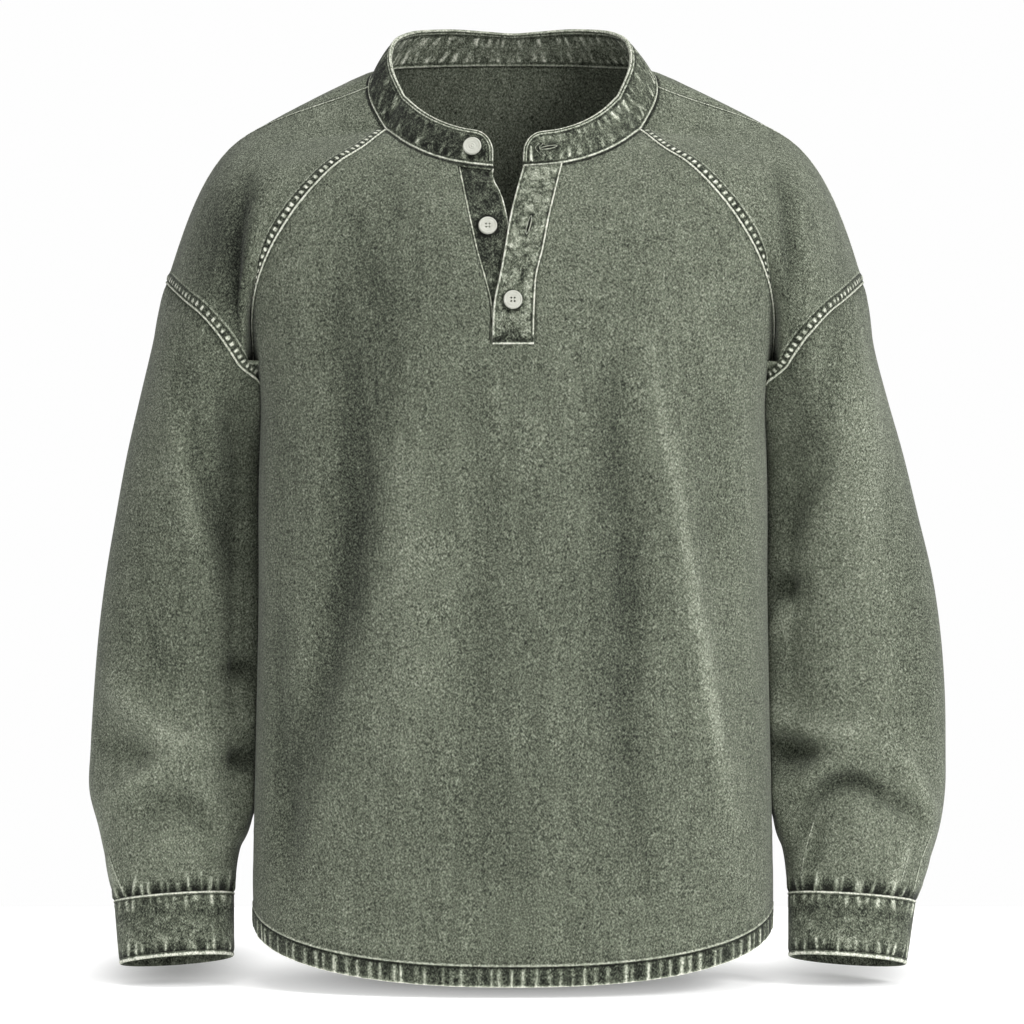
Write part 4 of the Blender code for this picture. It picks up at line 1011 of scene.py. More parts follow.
# %% Tucks and creases pressed in near the cuffs
# a pressed crease, pale along its top, with painted shade on both sides
TUCK_LINE = {
    "across": [-2.0, -1.2, -0.5, 0.0, 0.5, 1.2, 2.0],
    "lift":   [-0.5, 0.1, 0.5, 0.65, 0.5, 0.1, -0.5],
    "wear":   [-0.3, -0.6, 0.6, 1.1, 0.6, -0.6, -0.3],
    "lump":   [0] * 7,
}
TUCKS = [   # (x, z) along each
    [(-331, -627), (-322.9, -648), (-315.1, -664.7)],
    [(342.6, -610.8), (332.1, -636.7), (324.5, -667.5)],
    [(323.2, -623.7), (311.9, -661)],
    [(248.7, -590.5), (238.1, -626.2), (233.3, -654.5)],
]


def seen_from_front(places):
    """The first points of the skin behind (x, z) places of the front view."""
    found = [skin_tree.ray_cast(Vector((x, -900, z)), Vector((0, 1, 0)))[0] for x, z in places]
    return np.array([tuple(point) for point in found if point is not None])


for number, path in enumerate(TUCKS):
    fine = smooth(np.linspace(0, 1, len(path)), path, np.linspace(0, 1, 30))
    line = seen_from_front(fine)
    made, _, _ = felled_seam("sleeve_tuck_" + str(number + 1), line, line + np.array([2.0, 0, 0]),
                             seed=90 + number, shape=TUCK_LINE, bright=0.8 if number < 2 else 0.5,
                             taper=9.0)
    seam_bands.append(made)

# %% [markdown]
# ## Bands folded over: hem and cuffs
#
# The hem and the cuffs are bands of doubled cloth. One grid goes down the outside, round the
# lower edge and up the inside. Its section is a table: how far down the band each row of cells
# lies, how far it stands out, its dye, and how much of the puckers it takes.

# %% A band from its section
def folded_band(name, foot, away, out, section, puckers, mottle, tall=0.8, gain=1.6):
    """foot: where the band starts; away: which way it runs; out: which way it faces."""
    spots = lengths(foot)
    down, lift = np.array(section["down"])[:, None], np.array(section["lift"])[:, None]
    draw = sum(np.array(section[key])[:, None] * ridge.height(spots[None], distance(down))
               for key, ridge, distance in puckers)
    points = foot + away * down[:, :, None] + out * (lift + tall * draw)[:, :, None]
    wear = np.array(section["wear"])[:, None] + gain * draw
    facing = np.where((np.array(section["lift"]) > -1.0)[:, None, None], out[None], -out[None])
    return cloth(name, points, wear=wear, mottle=mottle, out=facing)


# pale where the lower fold and the upper lip are rubbed; painted shade in the stitch groove
HEM = {
    "down": [-1.5, 3, 8, 13, 15.4, 16.3, 16.7, 16.5, 16.0, 15.2, 14.2, 13, 11.7, 10.4, 9.1, 7.8,
             6.5, 5.3, 4.2, 3.3, 2.6, 2.0, 1.5, 1.0, 0.5, 0.0, -0.5, -1.0, -1.6, -2.3],
    "lift": [-1.9, -1.9, -1.9, -1.9, -1.8, -1.3, -0.4, 0.3, 0.6, 0.7, 0.75, 0.8, 0.8, 0.8, 0.8,
             0.8, 0.8, 0.8, 0.75, 0.65, 0.45, 0.15, -0.1, -0.1, 0.15, 0.45, 0.6, 0.5, 0.2, -0.5],
    "wear": [-0.3, -0.3, -0.3, -0.3, -0.1, 0.8, 1.5, 1.6, 1.1, 0.2, -0.2, -0.3, -0.3, -0.3, -0.3,
             -0.3, -0.3, -0.35, -0.4, -0.4, -0.6, -1.0, -1.6, -1.6, -0.9, 0.3, 0.8, 0.7, 0.2, 0],
    "pucker": [0, 0, 0, 0, 0, 0, 0.1, 0.3, 0.6, 0.8, 0.9, 1, 1, 1, 1, 1, 1, 1, 1, 0.9, 0.7, 0.4,
               0.1, 0, 0, 0.1, 0.2, 0.1, 0, 0],
}
HEM_PUCKER_SPACING = 9.6


def hem_lines(face):
    points = skin.panel(face)
    facing = skin.panel(face, normals)[0]
    count = int(lengths(points[0])[-1] / SEAM_CELL)
    spots = np.linspace(0, lengths(points[0])[-1], count + 1)
    pick = lambda rows: between(spots, lengths(points[0]), rows)
    away = unit(points[0] - points[2])
    return soften(pick(points[0]), 4), unit(soften(pick(away), 12)), unit(soften(pick(facing), 12))


hem_pieces, bright_rows = {}, []
for number, face in enumerate(("front", "back")):
    foot, away, out = hem_lines(face)
    ridges = Puckers(lengths(foot)[-1], HEM_PUCKER_SPACING, 60.0, seed=30 + number, lean=0.05,
                     width=0.17)
    made = folded_band("hem_" + face + "_cloth", foot, away, out, HEM,
                       [("pucker", ridges, lambda down: 0 * down)], mottle=0.55, gain=1.8)
    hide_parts("hem_" + face)
    hem_pieces[face] = made
    bright_rows.append((foot + away * -0.4 + out * 0.7, out))
print("hem cells", [len(piece.data.polygons) for piece in hem_pieces.values()])

# %% Cuffs
# pale on the folds; painted shade under the cuff's top and in its two stitch grooves
CUFF_BAND = {
    "down": [-0.9, -0.5, 0.1, 0.7, 1.3, 1.9, 2.5, 3.2, 4, 5, 6.5, 8, 9.5, 11, 12.5, 14.5, 17, 20,
             23, 26, 29, 32, 35, 37.5, 39.5, 41, 42.5, 44, 45, 45.8, 46.4, 47.0, 47.7, 48.5, 49.2,
             49.7, 49.9, 49.7, 49, 46, 40, 30, 20, 10, 1],
    "lift": [-0.6, 0.5, 1.2, 1.3, 0.9, 0.5, 0.6, 0.75, 0.8, 0.8, 0.8, 0.8, 0.8, 0.8, 0.8, 0.8,
             0.8, 0.8, 0.8, 0.8, 0.8, 0.8, 0.8, 0.8, 0.8, 0.8, 0.8, 0.75, 0.65, 0.4, 0.2, 0.45,
             0.8, 0.85, 0.5, -0.1, -0.9, -1.5, -1.8, -1.9, -1.9, -1.9, -1.9, -1.9, -1.9],
    "wear": [-1.5, 0.5, 1.6, 1.5, -0.2, -1.5, -0.8, -0.3, -0.25, -0.25, -0.3, -0.35, -0.4, -0.5,
             -0.6, -0.6, -0.5, -0.35, -0.25, -0.2, -0.2, -0.2, -0.2, -0.25, -0.3, -0.35, -0.4,
             -0.5, -0.7, -1.3, -1.4, 0.0, 1.2, 1.5, 1.2, 0.6, 0, -0.4, -0.5, -0.5, -0.5, -0.5,
             -0.5, -0.5, -0.5],
    "top":  [0, 0, 0.1, 0.1, 0.1, 0.3, 0.7, 0.9, 1, 1, 1, 1, 1, 1, 1, 1, 0.8] + [0] * 28,
    "low":  [0] * 21 + [0.5, 0.8, 1, 1, 1, 1, 1, 1, 0.8, 0.5, 0.4, 0.4, 0.3, 0.2, 0, 0] + [0] * 8,
}
CUFF_DEEP = 49.9
CUFF_COLUMNS = 232
CUFF_TOP_SPACING = 7.6
CUFF_LOW_SPACING = 9.0
CUFF_REACH = 12.0
CUFF_LOW_LINE = 46.0       # how far down the lower puckers start from
CUFF_THREADS = ((1.9, 0.75), (46.4, 0.45))     # how far down, how far out

cuff_pieces = {}
for number, (side_name, mirror, is_right) in enumerate(SIDES):
    seam = sleeve_ring(SLEEVE, len(SLEEVE["in_x"]) - 1, is_right, CUFF_COLUMNS)
    mouth = sleeve_ring(CUFF, 0, is_right, CUFF_COLUMNS)
    seam, mouth = (np.vstack([ring, ring[:1]]) * mirror for ring in (seam, mouth))
    away = (mouth - seam) / CUFF_DEEP
    out = unit(np.cross(np.gradient(seam, axis=0), away))
    out *= np.sign(((seam - seam.mean(axis=0)) * out).sum())
    around = lengths(seam)[-1]
    top_ridges = Puckers(around, CUFF_TOP_SPACING, CUFF_REACH, seed=40 + number, width=0.22)
    low_ridges = Puckers(around, CUFF_LOW_SPACING, CUFF_REACH, seed=50 + number, width=0.2)
    made = folded_band("cuff_" + side_name + "_cloth", seam, away, out, CUFF_BAND,
                       [("top", top_ridges, lambda down: down),
                        ("low", low_ridges, lambda down: np.abs(CUFF_LOW_LINE - down))],
                       mottle=0.55, tall=0.7, gain=2.1)
    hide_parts("cuff_" + side_name)
    cuff_pieces[side_name] = made
    thread_rows += [(seam + away * down + out * lift, out) for down, lift in CUFF_THREADS]
print("cuff cells", [len(piece.data.polygons) for piece in cuff_pieces.values()])

# %% [markdown]
# ## The collar
#
# A stand collar is two layers of cloth sewn together along the top and turned, so its top edge
# and its two rounded front ends are one continuous fold, with a row of stitching beside it. The
# grid therefore follows that edge: each line of cells runs from the neck seam to the edge, and
# the lines fan out round the two corners. Outside and inside are two layers of the same grid.

# %% The neck seam and the collar's form
COLLAR = {"angle": [-45, 0, 45, 90, 130, 160, 180, 200],
          "lean":  [12, 9, 12, 18, 20, 17.5, 16.5, 17.5],
          "rise":  [28.5, 28.5, 28.5, 28.5, 30, 26.5, 25, 26.5]}
COLLAR_LEFT_END, COLLAR_RIGHT_END = -16.0, 8.0
COLLAR_BOW = 1.6
COLLAR_RIGHT_LEAN = 4.0
NECK_MIDDLE = np.array([0.0, -12.0])
COLLAR_CORNER = {"round": 20.0, "square_part": 0.3, "power": 2.2}
COLLAR_THICK = 2.6
COLLAR_FAN = 24.0      # length of neck seam at each end whose cells fan out
COLLAR_FAN_CELLS = 40
COLLAR_CELL = 1.3


def neck_seam():
    """The neck seam from the collar's left end round the back to its right end."""
    front = skin.panel("front")[-1]
    at_x = lambda x: np.array([x, np.interp(x, front[:, 0], front[:, 1]),
                               np.interp(x, front[:, 0], front[:, 2])])
    left = front[front[:, 0] < COLLAR_LEFT_END][::-1]
    right = front[front[:, 0] > COLLAR_RIGHT_END][::-1]
    arm = lambda side_name: np.vstack(
        [arm_line(side_name, "shoulder_front", row=0)[RAGLAN_COLUMN:],
         arm_line(side_name, "shoulder_back", row=0)[1:TOP - RAGLAN_COLUMN + 1]])
    back = skin.panel("back")[-1][::-1]
    line = np.vstack([at_x(COLLAR_LEFT_END), left, arm("left")[1:-1], back,
                      arm("right")[::-1][1:-1], right, at_x(COLLAR_RIGHT_END)])
    return soften(line, 3)


def collar_form(base):
    """Over each point of the neck seam: where the collar's top is, and its outward way."""
    radial = unit(base[:, :2] - NECK_MIDDLE)
    angle = np.degrees(np.arctan2(np.abs(radial[:, 0]), -radial[:, 1]))
    lean = read(COLLAR, "angle", "lean", angle)
    lean = lean + COLLAR_RIGHT_LEAN * np.maximum(radial[:, 0], 0) ** 2
    rise = read(COLLAR, "angle", "rise", angle)
    top = base + np.stack([-radial[:, 0] * lean, -radial[:, 1] * lean, rise], axis=1)
    bulge = np.stack([radial[:, 0], radial[:, 1], 0 * rise], axis=1)
    return top, bulge


def far_from(spots, path):
    """Distance of flat points from a flat line."""
    best = np.full(spots.shape[:-1], 1e9)
    for a, b in zip(path[:-1], path[1:]):
        way = b - a
        s = np.clip(((spots - a) @ way) / max(way @ way, 1e-9), 0, 1)
        best = np.minimum(best, np.linalg.norm(spots - a - s[..., None] * way, axis=-1))
    return best


# %% The collar's cells, flat and then round the neck
neck = neck_seam()
neck_length = lengths(neck)[-1]
end_top, _ = collar_form(neck[:1])
end_rise = float(np.linalg.norm(end_top[0] - neck[0]))
corner = np.linspace(0, 1, 30)
corner_rise = (COLLAR_CORNER["square_part"] + (1 - COLLAR_CORNER["square_part"])
               * (1 - (1 - corner) ** COLLAR_CORNER["power"]) ** (1 / COLLAR_CORNER["power"]))
end_path = np.vstack([[[0, 0]], np.stack([corner * COLLAR_CORNER["round"], corner_rise * end_rise],
                                         axis=1), [[COLLAR_FAN, end_rise]]])
other_end = lambda path: np.stack([neck_length - path[:, 0], path[:, 1]], axis=1)[::-1]
fan = np.linspace(0, 1, COLLAR_FAN_CELLS + 1)
fan_head = cut_at(end_path, fan * lengths(end_path)[-1])
plain_cells = int((neck_length - 2 * COLLAR_FAN) / COLLAR_CELL)
plain = np.linspace(COLLAR_FAN, neck_length - COLLAR_FAN, plain_cells + 1)[1:-1]
foot_at = np.concatenate([fan * COLLAR_FAN, plain, neck_length - (fan * COLLAR_FAN)[::-1]])
head = np.vstack([fan_head, np.stack([plain, 0 * plain + end_rise], axis=1),
                  other_end(fan_head)])
edge_path = np.vstack([end_path, other_end(end_path)])
COLLAR_TALL = 31       # the rows below are counted in millimetres of this height
COLLAR_ROWS = np.array([31, 30.6, 30.1, 29.5, 28.8, 28, 27.1, 26.2, 25.3, 24.4, 23.5, 21.5, 19.5,
                        17.5, 15.5, 13.5, 11.5, 9.5, 7.8, 6.4, 5.2, 4.4, 3.8, 3.3, 2.8, 2.3, 1.8,
                        1.35, 0.9, 0.45, 0]) / COLLAR_TALL
flat_foot = np.stack([foot_at, 0 * foot_at], axis=1)
flat_spots = head[None] + (flat_foot - head)[None] * COLLAR_ROWS[:, None, None]
edge_away = far_from(flat_spots, edge_path)
foot_away = flat_spots[:, :, 1]


def on_collar(spots, lift):
    """Points of the collar's middle layer from flat (along, up) places, moved out by lift."""
    shape = spots.shape[:-1]
    along, up = spots[..., 0].ravel(), spots[..., 1].ravel() / end_rise
    base = cut_at(neck, np.clip(along, 0, neck_length))
    top, bulge = collar_form(base)
    bow = COLLAR_BOW * np.sin(np.pi * np.clip(up, 0, 1))[:, None]
    ahead = (cut_at(neck, np.clip(along + 1, 0, neck_length))
             - cut_at(neck, np.clip(along - 1, 0, neck_length)))
    out = unit(np.cross(ahead, top - base))
    out *= np.sign((out * bulge).sum(axis=1))[:, None]
    points = base + (top - base) * up[:, None] + bulge * bow + out * np.ravel(lift)[:, None]
    return points.reshape(shape + (3,)), out.reshape(shape + (3,))


# %% The collar's edge line, puckers and cloth
# pale on the folded edge and on the foot; painted shade in the grooves beside them
EDGE_LINE = {"away": [0, 0.4, 0.9, 1.3, 1.7, 2.2, 2.7, 3.2, 3.8, 4.6, 5.6],
             "lift": [0, 0.3, 0.4, 0.2, -0.25, -0.05, 0.3, 0.1, -0.3, -0.2, 0],
             "wear": [0.8, 1.3, 1.2, 0.2, -1.4, 0.1, 1.1, 0.2, -1.4, -0.9, 0]}
FOOT_LINE = {"away": [0, 0.6, 1.2, 1.8, 2.5, 3.4, 4.4],
             "lift": [0.0, 0.5, 0.6, 0.2, -0.25, -0.1, 0],
             "wear": [0.2, 1.5, 1.4, 0.0, -1.3, -0.8, 0]}


def line_of(table, name, away):
    return np.interp(away, table["away"], table[name])


def rounded(away, thick):
    """Half the thickness of a doubled cloth, falling to nothing round its folded edge."""
    s = np.clip(away / (thick * 0.45), 0, 1)
    return thick / 2 * np.sqrt(1 - (1 - s) ** 2)


NECK_SHADE_STRIP = {   # painted shade: the dark line in the cloth just below the collar, where the collar shades it
    "across": [-3.4, -2.4, -1.6, -0.9, 0.0],
    "lift":   [-0.4, 0.12, 0.16, 0.16, 0.1],
    "wear":   [0.0, -0.7, -1.4, -1.5, -1.2],
    "lump":   [0] * 5,
}
COLLAR_BUTTONHOLE = np.array([[neck_length - 14.5, 14.4], [neck_length - 29.5, 15.4]])
COLLAR_PUCKERS = {"outside": (60, 61), "inside": (62, 63)}
along = flat_spots[:, :, 0]
layers = {}
for layer, seeds in COLLAR_PUCKERS.items():
    upper = Puckers(neck_length, 6.4, 13.0, seeds[0], lean=0.25, width=0.24)
    lower = Puckers(neck_length, 7.2, 14.0, seeds[1], lean=0.25, width=0.22)
    draw = upper.height(along, edge_away) * np.clip(edge_away / 3 - 0.6, 0, 1)
    draw = draw + lower.height(along, foot_away) * np.clip(foot_away / 2 - 0.6, 0, 1)
    lift = rounded(edge_away, COLLAR_THICK) + line_of(EDGE_LINE, "lift", edge_away) + 0.6 * draw
    lift = lift + line_of(FOOT_LINE, "lift", foot_away)
    wear = 2.2 * draw - 0.3
    if layer == "outside":
        # painted shade: the viewer's left half of the collar, turned away from the key lamp, is
        # painted darker
        painted_shade_left_half = np.clip((0.5 * neck_length - along) / 60 - 0.2, 0, 1) ** 0.5
        wear = wear - 0.7 * painted_shade_left_half * (edge_away > 3.5)
        # the buttonhole's slit is painted dark, as the shade in the cut, and the cloth round it
        # darker
        slit = far_from(flat_spots, COLLAR_BUTTONHOLE)
        wear = wear - 1.7 * np.exp(-(slit / 0.9) ** 2) - 0.8 * np.exp(-(slit / 4.0) ** 2)
        lift = lift - 0.5 * np.exp(-(slit / 0.9) ** 2)
    else:
        wear = wear + 0.4
    for table, away in ((EDGE_LINE, edge_away), (FOOT_LINE, foot_away)):
        line = line_of(table, "wear", away)
        behind = 1 - 0.5 * np.exp(-((along / neck_length - 0.5) / 0.2) ** 2)
        wear = np.where(np.abs(line) > 0.05, line * behind + 0.25 * draw, wear)
    layers[layer] = (lift * (1 if layer == "outside" else -1) - COLLAR_THICK / 2, wear)
outside, facing = on_collar(flat_spots, layers["outside"][0])
inside, _ = on_collar(flat_spots, layers["inside"][0])
collar = cloth("collar_cloth", np.vstack([outside, inside[::-1][1:]]),
               wear=np.vstack([layers["outside"][1], layers["inside"][1][::-1][1:]]), mottle=0.55,
               out=np.vstack([facing, -facing[::-1][1:]]), weld=True)
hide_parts("collar")
row_at = lambda distance: int(np.argmin(np.abs(COLLAR_ROWS * COLLAR_TALL - distance)))
thread_rows.append((outside[row_at(2.3)], facing[row_at(2.3)]))
thread_rows.append((outside[1], facing[1]))
bright_rows.append((inside[3], -facing[3]))
over_neck, _ = collar_form(neck)
# a thin strip of painted shade laid on the cloth just below the collar
made, _, _ = felled_seam("neck_painted_shade", neck, neck + (over_neck - neck) * 0.1, seed=5, shape=NECK_SHADE_STRIP)
seam_bands.append(made)
print("neck seam", round(neck_length), "mm, collar", len(collar.data.polygons), "cells")

# %% [markdown]
# ## The buttoned opening
#
# The opening is a slit in the front between two folded strips. The under strip lies inside the
# slit and carries a button; the over strip lies on the front and has a buttonhole. Each is
# a flat bag of two layers: the outside and the inside grid are joined round the rim. The free
# edges are folds and shine bleached. The long seams and the end are stitched down, which pulls
# a groove with small dots beside each edge.

# %% Places on the front
chest_rows = np.linspace(0, 1, len(CHEST_LEVELS))


def on_chest(x, z):
    """Points of the folded front at distances x and middle heights z, and their normals."""
    fine = smooth(chest_rows, CHEST_LEVELS, np.linspace(0, 1, 600))[:, 0]
    share = np.interp(z[:, 0], fine, np.linspace(0, 1, 600))
    plain = Sections(*upper_rows(share, "front")).at(x)
    return on_skin(plain)


# %% Strips of the placket
STRIP_LIFT = {"over": (2.1, 0.4), "under": (-1.75, -3.6)}
STRIP_BOTTOM = {"over": SLOT_BOTTOM - 4.0, "under": SLOT_BOTTOM - 3.0}
STRIP_TOP = SLOT_TOP - 0.6
STRIP_CELL = 1.1
UNDER_FREE = {"z": [-221, -187, -167, -147, -118, -104, -96, -90, -85, -80, -78],
              "x": [13.5, 10, 6, 1, -4.4, -7.6, -10.8, -14.2, -15.9, -15.6, -15.2]}
RIM = np.array([0, 0.35, 0.7, 1.1, 1.5, 2.0, 2.5, 3.1, 3.9, 4.9])

# strip edges: pale on the folds; painted shade in the grooves that the stitching pulls
FREE_EDGE = {"away": [0, 0.4, 1.0, 1.5, 2.0, 2.6, 3.2, 4.2],
             "lift": [0, 0.25, 0.35, 0.1, -0.35, -0.4, -0.1, 0],
             "wear": [0.9, 1.3, 1.25, 0.5, -0.5, -0.5, -0.1, 0]}
SEAM_EDGE = {"away": [0, 0.4, 0.9, 1.3, 1.8, 2.4, 3.1, 4.2],
             "lift": [-0.2, 0.15, 0.3, 0.1, -0.35, -0.4, -0.1, 0],
             "wear": [-0.6, 1.3, 1.6, 0.7, -1.2, -1.2, -0.3, 0]}
UNDER_SEAM = {"away": [0, 3.0, 3.5, 4.1, 4.7, 5.4, 6.2, 7.2],
              "lift": [0, 0.0, 0.2, 0.2, -0.1, -0.2, -0.1, 0],
              "wear": [-0.8, -0.8, 1.3, 1.2, -1.3, -1.1, -0.9, 0]}
UNDER_EDGE = {"away": [0, 0.4, 0.8, 1.4, 2.0, 3.0],
              "lift": [0, 0.1, 0.1, 0.0, -0.1, 0],
              "wear": [0.9, 1.5, 1.2, 0.2, -0.4, 0]}
BOTTOM_EDGE = {"away": [0, 0.4, 1.0, 1.6, 2.2, 2.8, 4.0, 5.5, 8.0],
               "lift": [-0.2, 0.2, 0.35, 0.05, -0.4, -0.3, -0.1, 0, 0],
               "wear": [0.2, 1.5, 1.5, 0.3, -1.2, -1.2, -1.2, -0.8, 0]}
STRIP_BUTTONHOLE = np.array([[14.6, -119.5], [10.6, -134.5]])
SMUDGE = np.array([[11.0, -161.0], [4.7, -174.5]])
BARTACK = {"x": (-5.5, 2.4), "z": -212.6, "tall": 5.0, "strokes": 8}
BUTTON_PLACES = {"top": (-34.0, -61.5), "middle": (-20.0, -126.5), "bottom": (0.0, -187.0)}


def strip_grid(kind):
    """Flat places (rows, columns, 2) of a strip from its free edge to its seam edge."""
    count = int((STRIP_TOP - STRIP_BOTTOM[kind]) / STRIP_CELL)
    low, high = STRIP_BOTTOM[kind], STRIP_TOP
    z = np.concatenate([low + RIM, np.linspace(low + RIM[-1], high - 2.5, count)[1:],
                        high - RIM[:6][::-1]])
    slot = slot_at(z)
    if kind == "over":
        free, seam = slot["over_free"], slot["over_seam"]
    else:
        free = np.interp(z, UNDER_FREE["z"], UNDER_FREE["x"])
        seam = slot["under_seam"] - TUCK
    side = np.sign(seam - free)[:, None]
    middle = np.linspace(0, 1, 18)[None, 1:-1]
    a, b = free[:, None] + side * RIM, seam[:, None] - side * RIM[::-1]
    x = np.hstack([a, a[:, -1:] + (b[:, :1] - a[:, -1:]) * middle, b])
    return np.stack([x, np.repeat(z[:, None], x.shape[1], axis=1)], axis=2), free, seam


def strip_piece(kind):
    flat, free, seam = strip_grid(kind)
    base, facing = on_chest(flat[..., 0], flat[..., 1])
    facing = unit(soften(facing, 4))
    from_free = np.abs(flat[..., 0] - free[:, None])
    from_seam = np.abs(flat[..., 0] - seam[:, None])
    from_low = flat[..., 1] - STRIP_BOTTOM[kind]
    from_top = STRIP_TOP - flat[..., 1]
    near = np.minimum(np.minimum(from_free, from_seam), np.minimum(from_low, from_top))
    tall, low = STRIP_LIFT[kind]
    thick = tall - low
    free_line, seam_line = (FREE_EDGE, SEAM_EDGE) if kind == "over" else (UNDER_EDGE, UNDER_SEAM)
    # the under strip is dyed darker and also painted darker, as the shade of the over strip
    relief, wear = 0 * near, 0 * near - (0.9 if kind == "under" else 0.0)
    for table, away in ((free_line, from_free), (seam_line, from_seam)) + (
            ((BOTTOM_EDGE, from_low),) if kind == "over" else ()):
        relief = relief + line_of(table, "lift", away)
        line = line_of(table, "wear", away)
        wear = np.where(np.abs(line) > 0.05, line, wear)
    puckers = [(Puckers(150, 5.2, 6.0, 70, lean=0.3), flat[..., 1], from_free, 0.35),
               (Puckers(150, 5.6, 8.0, 71, lean=0.3), flat[..., 1], from_seam, 0.45),
               (Puckers(60, 4.2, 9.0, 72, lean=0.3), flat[..., 0] + 30, from_top, 0.45)]
    for ridges, spots, away, amount in puckers:
        draw = ridges.height(spots, away) * np.clip(away / 2.0 - 0.9, 0, 1)
        relief, wear = relief + 0.5 * amount * draw, wear + 1.6 * amount * draw
    button = BUTTON_PLACES["bottom" if kind == "over" else "middle"]
    way = flat - np.array(button)
    reach = np.linalg.norm(way, axis=2)
    angle = np.degrees(np.arctan2(way[..., 0], -way[..., 1]))
    rays = Puckers(360, 21.0, 14.0, 73 if kind == "over" else 74, lean=0.0, width=0.28)
    ray = rays.height(angle + 180, np.clip(reach - 8, 0, 99)) * (reach > 7.6)
    # painted shadow: a dark ring round the foot of the button's rim
    under = np.exp(-((reach - 8.2) / 1.6) ** 2)
    relief, wear = relief + 0.35 * ray, wear + 0.9 * ray * np.exp(-(angle / 60) ** 2) - 1.0 * under
    if kind == "over":
        # the buttonhole's slit is painted dark, as the shade in the cut, and the cloth round it
        # darker
        slit, smudge = far_from(flat, STRIP_BUTTONHOLE), far_from(flat, SMUDGE)
        tack = far_from(flat, np.array([[x, BARTACK["z"]] for x in BARTACK["x"]]))
        relief = relief - 0.5 * np.exp(-(slit / 0.9) ** 2)
        wear = (wear - 1.8 * np.exp(-(slit / 0.9) ** 2) - 0.6 * np.exp(-(slit / 3.4) ** 2)
                - 0.9 * np.exp(-(smudge / 2.4) ** 2) - 0.7 * np.exp(-(tack / 3.0) ** 2) + 0.12)
    if kind == "under":
        # a crease in the under strip, sunk and painted darker as shade; the swell beside it is
        # paler
        crumple = np.exp(-((flat[..., 1] + 84) / 3.0) ** 2) * np.exp(-(from_free / 12) ** 2)
        swell = np.exp(-((flat[..., 1] + 90) / 3.4) ** 2) * np.exp(-((from_free - 7) / 8) ** 2)
        relief = relief - 0.9 * crumple + 0.7 * swell
        wear = wear - 0.9 * crumple + 0.5 * swell
    relief = relief * np.clip(near / 0.3, 0, 1)
    outer = base + facing * (low + thick / 2 + rounded(near, thick) + relief)[..., None]
    inner = base + facing * (low + thick / 2 - rounded(near, thick))[..., None]
    both = np.vstack([outer, inner[::-1][1:]])
    layer = lambda values: np.vstack([values, values[::-1][1:]])
    made = cloth("placket_" + kind + "_cloth", both, wear=layer(wear),
                 mottle=1.2 if kind == "over" else 0.9,
                 out=np.vstack([facing, -facing[::-1][1:]]), weld=True)
    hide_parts("placket_" + kind)
    lines = {"free": outer[:, 6], "seam": outer[:, -6], "low": outer[6], "top": outer[-4]}
    return made, lines, facing, flat, outer


strip_pieces = {kind: strip_piece(kind) for kind in ("over", "under")}
for kind, (made, lines, facing, _, _) in strip_pieces.items():
    thread_rows += [(lines["free"], facing[:, 6]), (lines["seam"], facing[:, -6])]
    print("placket", kind, len(made.data.polygons), "cells")
thread_rows.append((strip_pieces["over"][1]["low"], strip_pieces["over"][2][6]))

# %% [markdown]
# ## Thread
#
# All rows of one kind of stitching are one object: a short capsule is made once from a small
# cylinder, then repeated along the rows by writing its points again at each stitch. A capsule has
# few faces, because there are thousands of them. Each stitch dips into the cloth at both ends, as
# the lockstitch pulls it down.

# %% One stitch
STITCH = {"long": 2.5, "gap": 0.6, "thick": 0.34, "sides": 5}


def stitch_shape():
    """Points and faces of a capsule along X, 1 long, made by bmesh from a small cylinder."""
    work = bmesh.new()
    bmesh.ops.create_cone(work, cap_ends=True, segments=STITCH["sides"], radius1=0.5, radius2=0.5,
                          depth=1.0, matrix=Matrix.Rotation(math.radians(90), 4, "Y"))
    ends = [face for face in work.faces if len(face.verts) == STITCH["sides"]]
    bmesh.ops.inset_region(work, faces=ends, thickness=0.22, depth=0.0)
    for face in ends:
        middle = face.calc_center_median()
        bmesh.ops.translate(work, verts=face.verts, vec=(0.1 * np.sign(middle.x), 0, 0))
    work.verts.ensure_lookup_table()
    points = np.array([vert.co[:] for vert in work.verts])
    faces = [[vert.index for vert in face.verts] for face in work.faces]
    work.free()
    return points, faces


stitch_points, stitch_faces = stitch_shape()


